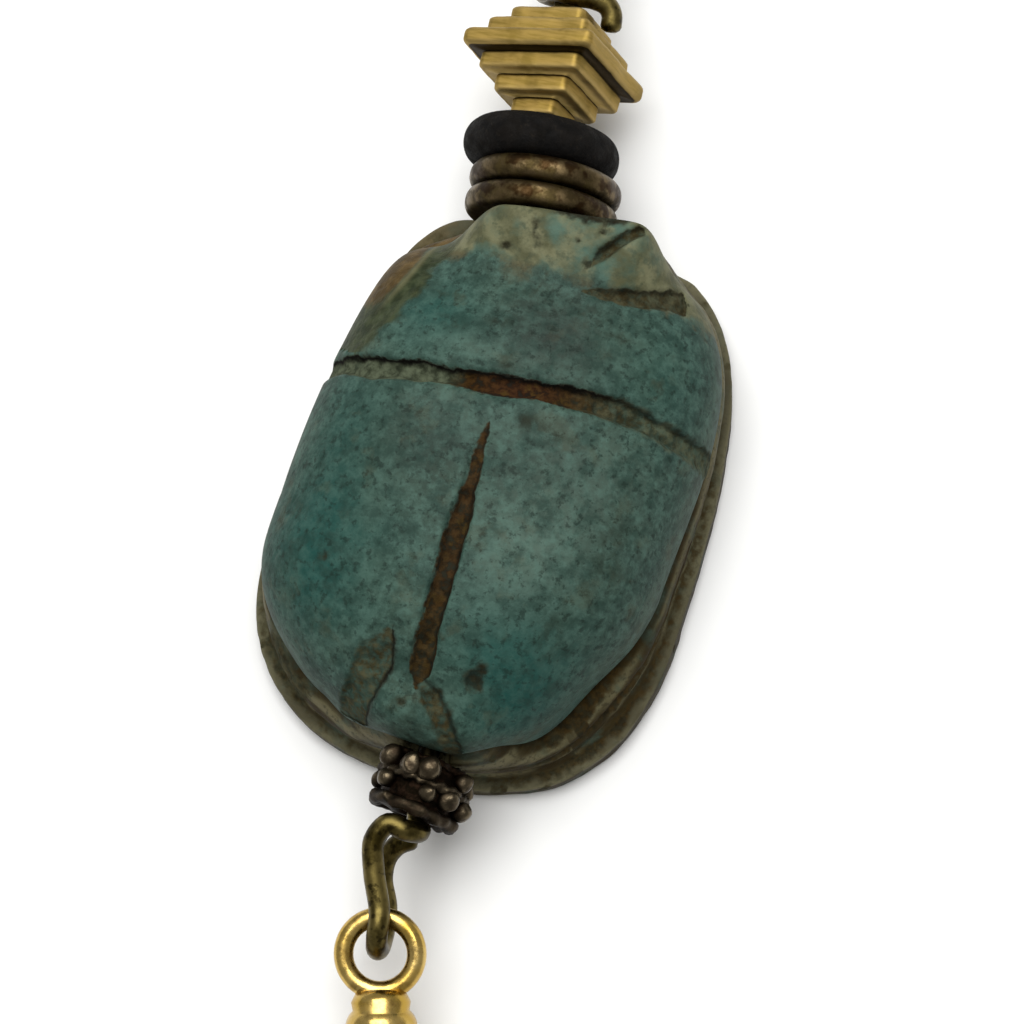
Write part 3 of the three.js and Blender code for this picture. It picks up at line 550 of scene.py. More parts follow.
# Glazed soapstone: thin alkaline glaze, fired and long buried. It gives a satin skin that drifts
# from blue to green, dark specks where it has pitted, and bare grey-green stone where it wore off.
# Real specks and grit are finer; here they are 0.2 to 0.4 mm, as coarse as they need to be to show.
def cloudy(tree, spot, size, start, end, low=0.0, high=1.0, detail=3.0, roughness=0.55):
    """Cloudy noise with lumps of about a given size in millimetres, whose values between start and
    end are stretched smoothly to run from low to high."""
    noise = add_node(tree, "ShaderNodeTexNoise", {"Vector": spot, "Scale": 1 / (size * mm),
                                                  "Detail": detail, "Roughness": roughness})
    return add_node(tree, "ShaderNodeMapRange", {"Value": noise.outputs["Fac"], "From Min": start,
                                                 "From Max": end, "To Min": low, "To Max": high},
                    interpolation_type="SMOOTHSTEP").outputs["Result"]


def passed(tree, start, end, *values, low=0.0, high=1.0):
    """How far a sum of values, each times its weight, has gone from start to end, as a smooth share
    that runs from low to high."""
    total = 0.0
    for value, weight in values:
        total = add_node(tree, "ShaderNodeMath", {0: value, 1: weight, 2: total},
                         operation="MULTIPLY_ADD").outputs[0]
    return add_node(tree, "ShaderNodeMapRange", {"Value": total, "From Min": start, "From Max": end,
                                                 "To Min": low, "To Max": high},
                    interpolation_type="SMOOTHSTEP").outputs["Result"]


def coated(tree, ground, *coats):
    """A ground colour under coats of others. Each coat is one or more shares, which are multiplied,
    and then its colour, as a hex value or a socket."""
    as_input = lambda colour: linear(colour) if isinstance(colour, str) else colour
    for share, *factors, colour in coats:
        for factor in factors:
            share = add_node(tree, "ShaderNodeMath", {0: share, 1: factor},
                             operation="MULTIPLY").outputs[0]
        ground = add_node(tree, "ShaderNodeMix", {0: share, 6: as_input(ground),
                                                  7: as_input(colour)}, data_type="RGBA").outputs[2]
    return ground


glaze, tree, shader = new_material("alkaline_glazed_soapstone",
                                   **{"IOR": 1.5, "Specular IOR Level": 0.07})
spot = add_node(tree, "ShaderNodeTexCoord").outputs["Object"]
marks = {name: add_node(tree, "ShaderNodeAttribute", attribute_name=name).outputs["Fac"]
         for name in ("cut", "under_edge", "painted_edge_shade", "earth_fill", "soft_edge", "earth_red",
                      "earth_grey", "bare", "pale_head", "facet", "rust_rim", "facet_ridge",
                      "worn_edge", "streak", "teal", "grey", "light", "stain")}

# The glaze itself: its drift of colour, the paler and darker mottling, and the dark specks.
calm = passed(tree, 0.0, 1.2, (marks["teal"], 1), (marks["grey"], 1), low=1.0, high=0.35)
mottle = cloudy(tree, spot, 0.42, 0.35, 0.68, detail=5.0, roughness=0.7)
skin = coated(
    tree, "#2b3e37",
    (cloudy(tree, spot, 4.5, 0.3, 0.7), "#354338"),
    (marks["teal"], "#1b433d"),
    (marks["grey"], "#2a322c"),
    (marks["light"], 0.7, "#5a6e62"),
    (cloudy(tree, spot, 2.2, 0.48, 0.7, 0.0, 0.45, detail=4.0), calm, "#4a5f53"),
    (mottle, calm, 0.55, "#506d62"),
    (cloudy(tree, spot, 0.8, 0.42, 0.66, 0.0, 0.65, detail=5.0, roughness=0.65), "#1e322b"),
    (cloudy(tree, spot, 0.3, 0.52, 0.66, 0.0, 0.6, detail=5.0, roughness=0.65), "#141f19"),
    (marks["pale_head"], 0.6, "#50685a"),
)

# The bare stone of the head and the streaked stone of the flanks
stone = coated(
    tree, "#4c4d36",
    (cloudy(tree, spot, 0.9, 0.35, 0.65, detail=4.0), "#6e6e53"),
    (cloudy(tree, spot, 0.4, 0.5, 0.68, 0.0, 0.6, detail=5.0, roughness=0.65), "#3b4232"),
)
streaked = coated(
    tree, "#2c230b",
    (passed(tree, 0.15, 0.85, (marks["streak"], 1)), "#656046"),
    (cloudy(tree, spot, 0.18, 0.5, 0.68, 0.0, 0.6, detail=4.0), "#2e2a1b"),
)
stone = coated(tree, streaked, (passed(tree, 0.0, 0.4, (marks["pale_head"], 1)), stone))

# Where the glaze is gone: bare stone, olive on the planed facet, rust along its rim, and stains
worn = cloudy(tree, spot, 1.3, 0.3, 0.7, -1.0, 1.0, detail=4.0)
olive = coated(tree, "#20250f", (cloudy(tree, spot, 0.5, 0.35, 0.65, detail=4.0), "#3a4028"))
rust = coated(tree, "#3f2f10", (cloudy(tree, spot, 0.8, 0.4, 0.65, detail=4.0), "#604d2b"))
skin = coated(
    tree, skin,
    (passed(tree, 0.2, 0.95, (marks["bare"], 1), (worn, 0.4)), stone),
    (passed(tree, 0.35, 0.8, (marks["facet"], 1), (worn, 0.3), high=0.9), olive),
    (passed(tree, 0.25, 0.85, (marks["rust_rim"], 1), (worn, 0.3), high=0.9), rust),
    (marks["facet_ridge"], 0.6, "#676448"),
    (marks["worn_edge"], 0.5, "#5e5c49"),
    (marks["stain"], cloudy(tree, spot, 0.5, 0.35, 0.6, detail=4.0), "#1e2115"),
)

# The earth in the cuts, brown, red or grey, and painted shade: a dark line under a cut's steeper
# edge, and over the pits and the head's front edge
lumps = cloudy(tree, spot, 0.3, 0.35, 0.65, detail=4.0)
ochre = cloudy(tree, spot, 0.6, 0.55, 0.7, 0.0, 0.7, detail=4.0)
brown = coated(tree, "#171004", (lumps, "#38290b"))
red = coated(tree, "#1d1009", (lumps, "#3c2615"), (ochre, "#453616"))
ashen = cloudy(tree, spot, 0.45, 0.35, 0.65, detail=5.0, roughness=0.65)
grey = coated(tree, "#2b3023", (ashen, "#525946"))
soil = coated(tree, brown, (marks["earth_red"], red), (marks["earth_grey"], grey))
wobble = cloudy(tree, spot, 0.5, 0.3, 0.7, -0.025, 0.025)
crisp = passed(tree, 0.485, 0.53, (marks["cut"], 1), (wobble, 1))
gentle = passed(tree, 0.42, 0.58, (marks["cut"], 1), (wobble, 2))
crust = add_node(tree, "ShaderNodeMix", {0: marks["soft_edge"], 2: crisp, 3: gentle},
                 data_type="FLOAT").outputs[0]
uneven_fill = passed(tree, 0.3, 1.15, (marks["earth_fill"], 1), (lumps, 0.4))
# Painted shade: near black under each cut's steeper edge, and over the pits and the head's front
# edge
shade = passed(tree, 0.53, 0.61, (marks["under_edge"], 1), (wobble, 1), low=1.0, high=0.0)
skin = coated(tree, skin, (crust, uneven_fill, soil), (shade, crust, marks["painted_edge_shade"], "#0b0906"))
tree.links.new(skin, shader.inputs["Base Color"])
tree.links.new(passed(tree, 0, 1, (crust, 1), low=0.55, high=0.95), shader.inputs["Roughness"])

# Fine relief: the grain of the skin with its mottling, and grit where there is earth
fine, grit = (add_node(tree, "ShaderNodeTexNoise", {"Vector": spot, "Scale": 1 / (size * mm),
                                                    "Detail": 3.0, "Roughness": 0.55}).outputs["Fac"]
              for size in (0.16, 0.22))
grit = add_node(tree, "ShaderNodeMath", {0: grit, 1: crust}, operation="MULTIPLY").outputs[0]
for value, weight in ((mottle, 0.5), (grit, 1.8)):
    fine = add_node(tree, "ShaderNodeMath", {0: value, 1: weight, 2: fine},
                    operation="MULTIPLY_ADD").outputs[0]
bump = add_node(tree, "ShaderNodeBump", {"Height": fine, "Strength": 0.6, "Distance": 0.03 * mm})
tree.links.new(bump.outputs["Normal"], shader.inputs["Normal"])
scarab.data.materials.append(glaze)


# Bronze rings
# Two plain cast bronze rings, flat with a round edge, loose on the wire between the beetle's head
# and the black bead. They are dark with age and rubbed bright along the edge.
bead_gap = 0.06
ring_radius = 2.93
ring_thickness = 0.97
ring_slack = 0.53
thread_radius = 0.7
lower_ring_at = head_face + bead_gap
upper_ring_at = lower_ring_at + ring_thickness + bead_gap


def on_wire(points):
    """Places given as across, along and above the wire, in the row frame."""
    points = np.asarray(points)
    return (wire_start + points[:, :1] * wire_across + points[:, 1:2] * wire_along
            + points[:, 2:] * [0, 0, 1])


def turned(profile, steps):
    """A closed profile of radius and place along, carried round the wire."""
    turn = np.linspace(0, 2 * pi, steps, endpoint=False)
    radius, place = np.array(profile).T
    return np.stack([radius[:, None] * np.cos(turn), place[:, None] + 0 * turn,
                     radius[:, None] * np.sin(turn)], -1).reshape(-1, 3)


def hoop_faces(rows, count):
    """Quads of a surface whose rows and columns both close on themselves."""
    r = np.arange(rows)[:, None]
    i = np.arange(count)
    j = (i + 1) % count
    up = (r + 1) % rows
    quads = np.stack([r * count + i, up * count + i, up * count + j, r * count + j], -1)
    return quads.reshape(-1, 4)


def ring_profile(radius, hole, thickness, rim, power, steps=26):
    """A flat ring whose outer rim is a half oval of a given power, with a soft inner edge."""
    turn = pi * (np.linspace(0, 1, steps) - 0.5)
    outer = radius - rim + rim * np.abs(np.cos(turn)) ** (2 / power)
    up = thickness / 2 * (1 + signed_power(np.sin(turn), 2 / power))
    soft_edge = 0.12
    flat = np.linspace(hole + soft_edge, radius - rim, 6)[:-1]
    bottom = np.concatenate([[hole, hole + soft_edge / 3], flat])
    bottom_up = np.concatenate([[soft_edge, soft_edge / 3], 0 * flat])
    return np.concatenate([np.stack([bottom, bottom_up], 1), np.stack([outer, up], 1),
                           np.stack([bottom[::-1], thickness - bottom_up[::-1]], 1)])


def ring_bead(name, at, radius, thickness, rim, power, slack, slot, node, seed, rough, steps=180):
    """A turned bead with slow unevenness, placed on the wire, on which it hangs to one side by its
    slack."""
    profile = ring_profile(radius, thread_radius + slack, thickness, rim, power)
    points = turned(profile, steps)
    from_axis = np.hypot(points[:, 0], points[:, 2])
    uneven = rough * (ripple(points, 1.4, seed) + 0.4 * ripple(points, 0.4, seed + 1) - 1.2)
    grow = 1 + uneven * (from_axis > radius - rim * 1.1) / from_axis
    points[:, 0] *= grow
    points[:, 2] *= grow
    points += [slack, at, 0]
    piece = mesh_piece(name, on_wire(points), [hoop_faces(len(profile), steps)[:, ::-1]], slot, node)
    mark(piece, "rubbed", rise(from_axis, radius - rim * 0.75, radius))
    return piece


def rubbed_patches(tree, patches):
    """Where a piece is rubbed bright: its own mark, broken up by patches."""
    touched = add_node(tree, "ShaderNodeAttribute", attribute_name="rubbed").outputs["Fac"]
    return add_node(tree, "ShaderNodeMath", {0: touched, 1: patches},
                    operation="MULTIPLY").outputs[0]


def finely_rough(tree, shader, spot, size, strength, depth, detail=4.0, roughness=0.55):
    """Fine lumps in the surface, of a given size and depth in millimetres."""
    noise = add_node(tree, "ShaderNodeTexNoise", {"Vector": spot, "Scale": 1 / (size * mm),
                                                  "Detail": detail, "Roughness": roughness})
    bump = add_node(tree, "ShaderNodeBump", {"Height": noise.outputs["Fac"], "Strength": strength,
                                             "Distance": depth * mm})
    tree.links.new(bump.outputs["Normal"], shader.inputs["Normal"])


# Bronze that has gone brown: dull and dark in the recesses, a warm beige where fingers rub it.
bronze, tree, shader = new_material("cast_bronze_dark_patina", **{"Metallic": 1.0})
spot = add_node(tree, "ShaderNodeTexCoord").outputs["Object"]
patches = cloudy(tree, spot, 0.7, 0.38, 0.62, 0.25, 1.0, detail=4.0, roughness=0.65)
rubbed = rubbed_patches(tree, patches)
metal = coated(
    tree, "#261f0e",
    (cloudy(tree, spot, 0.5, 0.4, 0.62, detail=4.0), "#43391d"),
    (rubbed, "#62533a"),
    (cloudy(tree, spot, 0.8, 0.5, 0.62, 0, 0.85), "#291a0b"),
)
tree.links.new(metal, shader.inputs["Base Color"])
tree.links.new(passed(tree, 0, 1, (rubbed, 1), low=0.62, high=0.36), shader.inputs["Roughness"])
finely_rough(tree, shader, spot, 0.25, 0.5, 0.03)
for name, at, seed in (("lower", lower_ring_at, 101), ("upper", upper_ring_at, 111)):
    ring = ring_bead(f"bronze_ring_{name}_turned", at, ring_radius, ring_thickness, rim=0.42,
                     power=2.3, slack=ring_slack, slot="antique_bronze",
                     node=f"bronze_ring_{name}", seed=seed, rough=0.012)
    ring.data.materials.append(bronze)


# Black disc bead
# A drilled disc of black stone or shell, ground to a full round edge and left matt, with fine
# pits and a trace of brown dust.
disc_radius = 3.0
disc_thickness = 1.66
disc_slack = 0.13
disc_at = upper_ring_at + ring_thickness + bead_gap
disc = ring_bead("black_disc_ground", disc_at, disc_radius, disc_thickness, rim=0.85, power=2.2,
                 slack=disc_slack, slot="black_stone", node="black_disc_bead", seed=121, rough=0.014)

# Black stone left matt from grinding: no glint, a faint grey sheen on the edge that faces the
# lamp, shallow pits and brown dust in some of them.
black, tree, shader = new_material("matt_black_stone", **{"IOR": 1.5, "Specular IOR Level": 0.12})
spot = add_node(tree, "ShaderNodeTexCoord").outputs["Object"]
tone = coated(
    tree, "#080706",
    (cloudy(tree, spot, 0.6, 0.35, 0.65, detail=4.0), "#100d0a"),
    (cloudy(tree, spot, 0.16, 0.62, 0.74, 0, 0.6, detail=2.0), "#201b14"),
)
tree.links.new(tone, shader.inputs["Base Color"])
tree.links.new(cloudy(tree, spot, 0.5, 0.3, 0.7, 0.65, 0.95), shader.inputs["Roughness"])
finely_rough(tree, shader, spot, 0.3, 1.0, 0.09, detail=5.0, roughness=0.7)
disc.data.materials.append(black)


# Stepped gold bead
# A gold-plated bead cast as a stack of square plates, widest in the middle, whose edges are
# rounded by wear. It sits turned on the wire with one corner up, leaning to the right.
gold_half_side = 2.73
gold_plate = 0.7
gold_step = 0.57
plates_below = 3
plates_above = 2
gold_roll = radians(20)
gold_lean = radians(5)
gold_length = (plates_below + 1 + plates_above) * gold_plate
lean_room = (gold_half_side - gold_step * plates_below) * sqrt(2) * sin(gold_lean)
gold_at = disc_at + disc_thickness + bead_gap + lean_room


def rotate(points, axis, angle):
    """Points turned about an axis through the origin, by Rodrigues' formula."""
    axis = np.asarray(axis, float)
    axis = axis / np.linalg.norm(axis)
    return (points * cos(angle) + np.cross(axis, points) * sin(angle)
            + np.outer(points @ axis, axis) * (1 - cos(angle)))


def square_outline(half, corner, steps=10, straight=14):
    """Points round a square with round corners, with more points along the straight sides."""
    quarter = []
    for step in np.linspace(0, pi / 2, steps):
        quarter.append((half - corner + corner * cos(step), half - corner + corner * sin(step)))
    for step in np.linspace(0, 1, straight + 2)[1:-1]:
        quarter.append(((half - corner) * (1 - 2 * step), half))
    quarter = np.array(quarter)
    parts = [quarter]
    for _ in range(3):
        last = parts[-1]
        parts.append(np.stack([-last[:, 1], last[:, 0]], 1))
    return np.concatenate(parts)


rows = []
for plate in range(-plates_below, plates_above + 1):
    half = gold_half_side - gold_step * abs(plate)
    bottom = (plate + plates_below) * gold_plate
    worn = 0.2 if plate == 0 else 0.12
    turn = np.linspace(0, pi / 2, 5)
    for step in turn:
        rows.append((half - worn * (1 - sin(step)), bottom + worn * (1 - cos(step))))
    for step in np.linspace(0, 1, 5)[1:-1]:
        rows.append((half, bottom + worn + (gold_plate - 2 * worn) * step))
    for step in turn:
        rows.append((half - worn * (1 - cos(step)), bottom + gold_plate - worn * (1 - sin(step))))
rows = np.array(rows)
corner_radius = 0.3
count = len(square_outline(1, corner_radius))
square_rows = []
for half, place_along in rows:
    plan = square_outline(half, min(corner_radius, half * 0.6))
    square_rows.append(np.stack([plan[:, 0], np.full(count, place_along), plan[:, 1]], 1))
hole_angle = np.arctan2(square_rows[0][:, 2], square_rows[0][:, 0])
for place_along in (gold_length, gold_length * 0.5, 0):
    square_rows.append(np.stack([thread_radius * np.cos(hole_angle), np.full(count, place_along),
                                 thread_radius * np.sin(hole_angle)], 1))
gold_points = np.concatenate(square_rows)
outer = np.arange(len(gold_points)) < len(rows) * count
size_here = np.concatenate([np.repeat(rows[:, 0], count), np.zeros(3 * count)])
uneven = 0.018 * ripple(gold_points, 0.9, 131) + 0.01 * ripple(gold_points, 0.3, 132) - 0.03
gold_points[:, [0, 2]] *= (1 + uneven * outer / np.maximum(size_here, 0.5))[:, None]
plate_here = np.clip(gold_points[:, 1] / gold_plate, 0, gold_length / gold_plate - 1e-4)
this_plate = np.floor(plate_here)
from_middle = plate_here - this_plate - 0.5
edge_here = 2 * np.abs(from_middle)
# A step's inner corner is where the next plate stands out further than this one.
stands_out = gold_half_side - gold_step * np.abs(this_plate - plates_below)
next_out = gold_half_side - gold_step * np.abs(this_plate + np.sign(from_middle) - plates_below)
shaded_inner_corner = rise(edge_here, 0.35, 0.85) * (next_out > stands_out)
gold_points[:, 1] -= gold_length / 2
gold_points = rotate(gold_points, (0, 1, 0), -gold_roll)
gold_points = rotate(gold_points, (cos(gold_roll), 0, sin(gold_roll)), -gold_lean)
gold_points[:, 1] += gold_at + gold_length / 2
gold_bead = mesh_piece("stepped_gold_bead_cast", on_wire(gold_points),
                       [hoop_faces(len(square_rows), count)], "brushed_gold", "stepped_gold_bead")
# The steps' inner corners carry painted shade, together with the polish and dirt caught there.
mark(gold_bead, "shaded_inner_corner", shaded_inner_corner * outer)
mark(gold_bead, "rubbed", (1 - shaded_inner_corner) * rise(edge_here, 0.4, 0.8) * outer)

# Gold plate, brushed and then worn: a soft yellow sheen in fine lines along the plates, paler on
# the edges, brown where polish and dirt stay in the steps, and dark brown painted shade in the
# steps' inner corners. Real brush lines are finer; these are about 0.13 mm apart, as coarse as
# they need to be to show.
matt_gold, tree, shader = new_material("brushed_gold_plate", **{"Metallic": 1.0})
spot = add_node(tree, "ShaderNodeTexCoord").outputs["Object"]
marks = {name: add_node(tree, "ShaderNodeAttribute", attribute_name=name).outputs["Fac"]
         for name in ("shaded_inner_corner", "rubbed")}
stretched = add_node(tree, "ShaderNodeMapping", {"Vector": spot, "Rotation": (0, 0, -wire_turn),
                                                 "Scale": (1, 7, 1)}).outputs["Vector"]
tone = coated(
    tree, "#917a3c",
    (cloudy(tree, stretched, 0.9, 0.35, 0.65, detail=4.0, roughness=0.6), "#a88e4e"),
    (marks["rubbed"], 0.3, "#bda675"),
    (cloudy(tree, spot, 1.2, 0.52, 0.7, 0, 0.5), "#756128"),
    (passed(tree, 0.35, 0.95, (marks["shaded_inner_corner"], 1), high=0.95), "#1e1304"),
)
tree.links.new(tone, shader.inputs["Base Color"])
brushing = cloudy(tree, stretched, 0.9, 0.3, 0.7, 0.54, 0.66, detail=4.0, roughness=0.6)
tree.links.new(brushing, shader.inputs["Roughness"])
finely_rough(tree, shader, stretched, 0.9, 0.4, 0.025, roughness=0.6)
gold_bead.data.materials.append(matt_gold)


# Brass wire
# One length of round brass wire, tarnished olive: an eye at the bottom, a straight stem through
# every bead, and at the top a loop closed by three turns round the stem and a bent-down end.
wire = 2 * wire_radius
wrap_turns = 3
loop_radius = 1.6
eye_reach = 5.0
eye_tube = 0.365
spacer_length = 2.1
spacer_top = -(tail_reach - 0.36)
spacer_bottom = spacer_top - spacer_length
wrap_at = gold_at + gold_length + bead_gap + lean_room * 1.5


def smooth_line(places, per_span):
    """A centripetal Catmull-Rom curve through the places, with a number of steps per span."""
    p = np.array(places, float)
    p = np.vstack([2 * p[0] - p[1], p, 2 * p[-1] - p[-2]])
    t = np.concatenate([[0], np.cumsum(np.linalg.norm(np.diff(p, axis=0), axis=1) ** 0.5)])
    parts = []
    for k in range(1, len(p) - 2):
        u = np.linspace(t[k], t[k + 1], per_span, endpoint=False)[:, None]

        def between(first, last, from_point, to_point):
            """A straight line between two points, as u goes from one knot to a later one."""
            return ((t[last] - u) / (t[last] - t[first]) * from_point
                    + (u - t[first]) / (t[last] - t[first]) * to_point)

        a1 = between(k - 1, k, p[k - 1], p[k])
        a2 = between(k, k + 1, p[k], p[k + 1])
        a3 = between(k + 1, k + 2, p[k + 1], p[k + 2])
        b1 = between(k - 1, k + 1, a1, a2)
        b2 = between(k, k + 2, a2, a3)
        parts.append(between(k, k + 1, b1, b2))
    return np.vstack(parts + [p[-2:-1]])


def polar(out, turn, place):
    """The point at a distance from the wire's stem and an angle round it, at a place along it."""
    return (out * cos(turn), place, out * sin(turn))


wrap_radius = wire * 1.12
pitch = wire * 1.08
neck = wrap_at + wire_radius + wrap_turns * pitch
beside = gold_half_side - gold_step * plates_above + wire_radius + 0.15
route = [polar(beside, gold_roll, wrap_at - gold_plate * 0.6),
         polar(beside, gold_roll + 0.04, wrap_at),
         polar(beside * 0.93, gold_roll + 0.14, wrap_at + wire_radius * 0.8),
         polar(beside * 0.75, gold_roll + 0.4, wrap_at + wire_radius * 1.15),
         polar(beside * 0.57, gold_roll + 0.8, wrap_at + wire_radius * 1.15)]
first_turn = gold_roll + 1.4
last_turn = 2 * pi * wrap_turns
for turn in np.linspace(first_turn, last_turn, round(10 * (last_turn - first_turn) / (2 * pi)) + 1):
    route.append(polar(wrap_radius, turn, neck - pitch * (last_turn - turn) / (2 * pi)))
loop_centre = neck + loop_radius + 3.1 * wire_radius
for turn in np.radians(np.linspace(-58, 240, 17)):
    route.append((loop_radius * cos(turn), loop_centre + loop_radius * sin(turn), 0))
route += [(-wire_radius * 0.6, neck + wire_radius * 1.1, 0), (0, neck - wire_radius * 0.6, 0),
          (0, neck - 2.5, 0), (0, spacer_top + 3, 0), (0, spacer_top + 0.5, 0)]

eye_turn = eye_tube + wire_radius + 0.18
eye_front = 0.525 * wire
eye_back = eye_front - 2 * eye_turn
eye_turn_at = spacer_bottom - eye_reach + eye_turn
eye_shift = -0.8 * wire
route.append((0, spacer_top - spacer_length * 0.5, 0))
for across, below, up in ((0.04, 0.15, 0.05), (0.3, 0.72, 0.5), (-0.28, 0.84, 1.2),
                          (-1.05, 0.68, 1.3), (-1.6, 1.5, 1.1), (-1.4, 2.9, 0.8)):
    route.append((across * wire, spacer_bottom - below * wire, up * wire))
route.append((eye_shift * 1.12, eye_turn_at + eye_turn * 0.5, eye_front))
for turn in np.linspace(0, pi, 7):
    route.append((eye_shift, eye_turn_at - eye_turn * sin(turn),
                  eye_front - eye_turn * (1 - cos(turn))))
route.append((eye_shift * 1.12, eye_turn_at + eye_turn * 0.8, eye_back))
for across, below, up in ((-1.32, 2.9, 0.12), (-1.22, 1.9, 0.44), (-0.8, 1.3, 0.66),
                          (-0.25, 0.98, 0.75)):
    route.append((across * wire, spacer_bottom - below * wire, eye_back + up * wire))


def tips(rows, count):
    """Triangles that close both ends of rows of points to two middle points, which follow them."""
    middle = rows * count
    i = np.arange(count)
    j = (i + 1) % count
    start = np.stack([j, i, np.full(count, middle)], -1)
    end = np.stack([middle - count + i, middle - count + j, np.full(count, middle + 1)], -1)
    return np.concatenate([start, end])


def tube(path, radius, sides):
    """Round wire along a path: the section is carried along without twisting, and both cut ends
    are rounded over."""
    last_step, first_step = path[-1] - path[-2], path[0] - path[1]
    ahead = path[-1] + last_step / np.linalg.norm(last_step) * radius * 0.5
    behind = path[0] + first_step / np.linalg.norm(first_step) * radius * 0.5
    middle_ahead = path[-1] * 0.45 + ahead * 0.55
    middle_behind = path[0] * 0.45 + behind * 0.55
    path = np.vstack([behind, middle_behind, path, middle_ahead, ahead])
    size = np.full(len(path), radius)
    size[[0, -1]] *= 0.55
    size[[1, -2]] *= 0.88
    heading = np.gradient(path, axis=0)
    heading /= np.linalg.norm(heading, axis=1)[:, None]
    side = np.array([0, 0, 1.0])
    turn = np.linspace(0, 2 * pi, sides, endpoint=False)[:, None]
    rings = []
    for here, forward, thick in zip(path, heading, size):
        side = side - forward * (side @ forward)
        side /= np.linalg.norm(side)
        up = np.cross(forward, side)
        rings.append(here + thick * (np.cos(turn) * side + np.sin(turn) * up))
    points = np.vstack(rings + [path[:1], path[-1:]])
    return points, [bands(len(path), sides), tips(len(path), sides)]


path = smooth_line(route, 6)
wire_points, wire_faces = tube(path, wire_radius, 20)
wire_points += 0.006 * ripple(wire_points, 0.7, 141)[:, None] * np.array([1, 0, 1])
wire_piece = mesh_piece("brass_wire_wrapped", on_wire(wire_points), wire_faces, "olive_brass",
                        "brass_wire")
# Painted shade on the wire in the gap between the tail and the spacer
mark(wire_piece, "gap_shade", bell(wire_points[:, 1], spacer_top + 0.3, 0.7))

# Drawn brass, tarnished: olive brown with patches rubbed paler and yellower, small dark spots,
# and painted shade where it runs in the gap between the tail and the spacer.
olive, tree, shader = new_material("drawn_brass_tarnished", **{"Metallic": 1.0})
spot = add_node(tree, "ShaderNodeTexCoord").outputs["Object"]
gap_shade = add_node(tree, "ShaderNodeAttribute", attribute_name="gap_shade").outputs["Fac"]
tone = coated(
    tree, "#352d12",
    (cloudy(tree, spot, 1.3, 0.38, 0.62, detail=4.0, roughness=0.6), "#665a32"),
    (cloudy(tree, spot, 0.35, 0.54, 0.66, 0, 0.75), "#1d180a"),
    (gap_shade, "#0c0a06"),
)
tree.links.new(tone, shader.inputs["Base Color"])
tree.links.new(cloudy(tree, spot, 0.6, 0.3, 0.7, 0.3, 0.5), shader.inputs["Roughness"])
finely_rough(tree, shader, spot, 0.3, 0.5, 0.03)
wire_piece.data.materials.append(olive)


# Granulated spacer
# A small blackened silver bead: a tube with two rows of soldered granules, a twisted wire between
# them and a plain rim at the bottom. It hangs a little askew under the tail.
core_radius = 1.45
granule_radius = 0.48
granules_per_row = 8
lip = 0.26
spacer_lean = radians(13)


def ball(centre, radius, rings=14, sides=20):
    """A sphere from rings of latitude, with its poles closed."""
    tilt = np.linspace(0, pi, rings + 2)[1:-1]
    turn = np.linspace(0, 2 * pi, sides, endpoint=False)
    points = np.stack([np.sin(tilt)[:, None] * np.cos(turn), np.cos(tilt)[:, None] + 0 * turn,
                       np.sin(tilt)[:, None] * np.sin(turn)], -1).reshape(-1, 3)
    points = np.vstack([points, [[0, 1, 0], [0, -1, 0]]]) * radius + centre
    return points, [bands(rings, sides), tips(rings, sides)]


def torus(radius, tube_radius, place, rings=96, sides=14, twist=0.0, strands=1):
    """A hoop round the wire. With a twist, its section is a strand that winds like a rope."""
    turn = np.linspace(0, 2 * pi, rings, endpoint=False)[:, None]
    round_tube = np.linspace(0, 2 * pi, sides, endpoint=False)
    bulge = tube_radius * (1 + twist * np.cos(2 * round_tube + strands * turn))
    out = radius + bulge * np.cos(round_tube)
    points = np.stack([out * np.cos(turn), place + bulge * np.sin(round_tube),
                       out * np.sin(turn)], -1)
    return points.reshape(-1, 3), [hoop_faces(rings, sides)]


def gather(parts):
    """Several meshes as one list of points and faces."""
    points, faces, first = [], [], 0
    for part_points, part_faces in parts:
        points.append(part_points)
        faces += [group + first for group in part_faces]
        first += len(part_points)
    return np.vstack(points), faces


chance = np.random.default_rng(152)
parts = []
core_profile = ring_profile(core_radius, thread_radius, spacer_length, 0.3, 2.4, 16)
parts.append((turned(core_profile, 64), [hoop_faces(len(core_profile), 64)[:, ::-1]]))
for row in range(2):
    place_along = spacer_length * (0.78 if row else 0.4)
    for k in range(granules_per_row):
        turn = (k + row / 2) / granules_per_row * 2 * pi
        out = core_radius + granule_radius * 0.3
        size = granule_radius * (1 - 0.32 * chance.random())
        turn += 0.12 * chance.normal()
        place_here = place_along + 0.06 * chance.normal()
        parts.append(ball((out * cos(turn), place_here, out * sin(turn)), size))
parts.append(torus(core_radius + 0.16, 0.17, spacer_length * 0.58, twist=0.3, strands=22))
parts.append(torus(core_radius + lip * 0.2, lip * 0.95, lip * 0.5, twist=0.16, strands=11))
parts.append(torus(core_radius - 0.05, 0.13, spacer_length - 0.1, twist=0.25, strands=22))
spacer_points, spacer_faces = gather(parts)
raised = np.hypot(spacer_points[:, 0], spacer_points[:, 2])
uneven = 0.055 * ripple(spacer_points, 0.4, 151)[:, None]
spacer_points += uneven * np.array([1, 0.6, 1]) - [0.004, 0, 0.004]
spacer_points[:, 1] -= spacer_length / 2
spacer_points = rotate(spacer_points, (0, 0, 1), -spacer_lean)
spacer_points[:, 1] += spacer_bottom + spacer_length / 2
spacer = mesh_piece("granulated_spacer_soldered", on_wire(spacer_points), spacer_faces,
                    "dark_silver", "granulated_spacer")
mark(spacer, "rubbed", rise(raised, core_radius + 0.12, core_radius + 0.5))

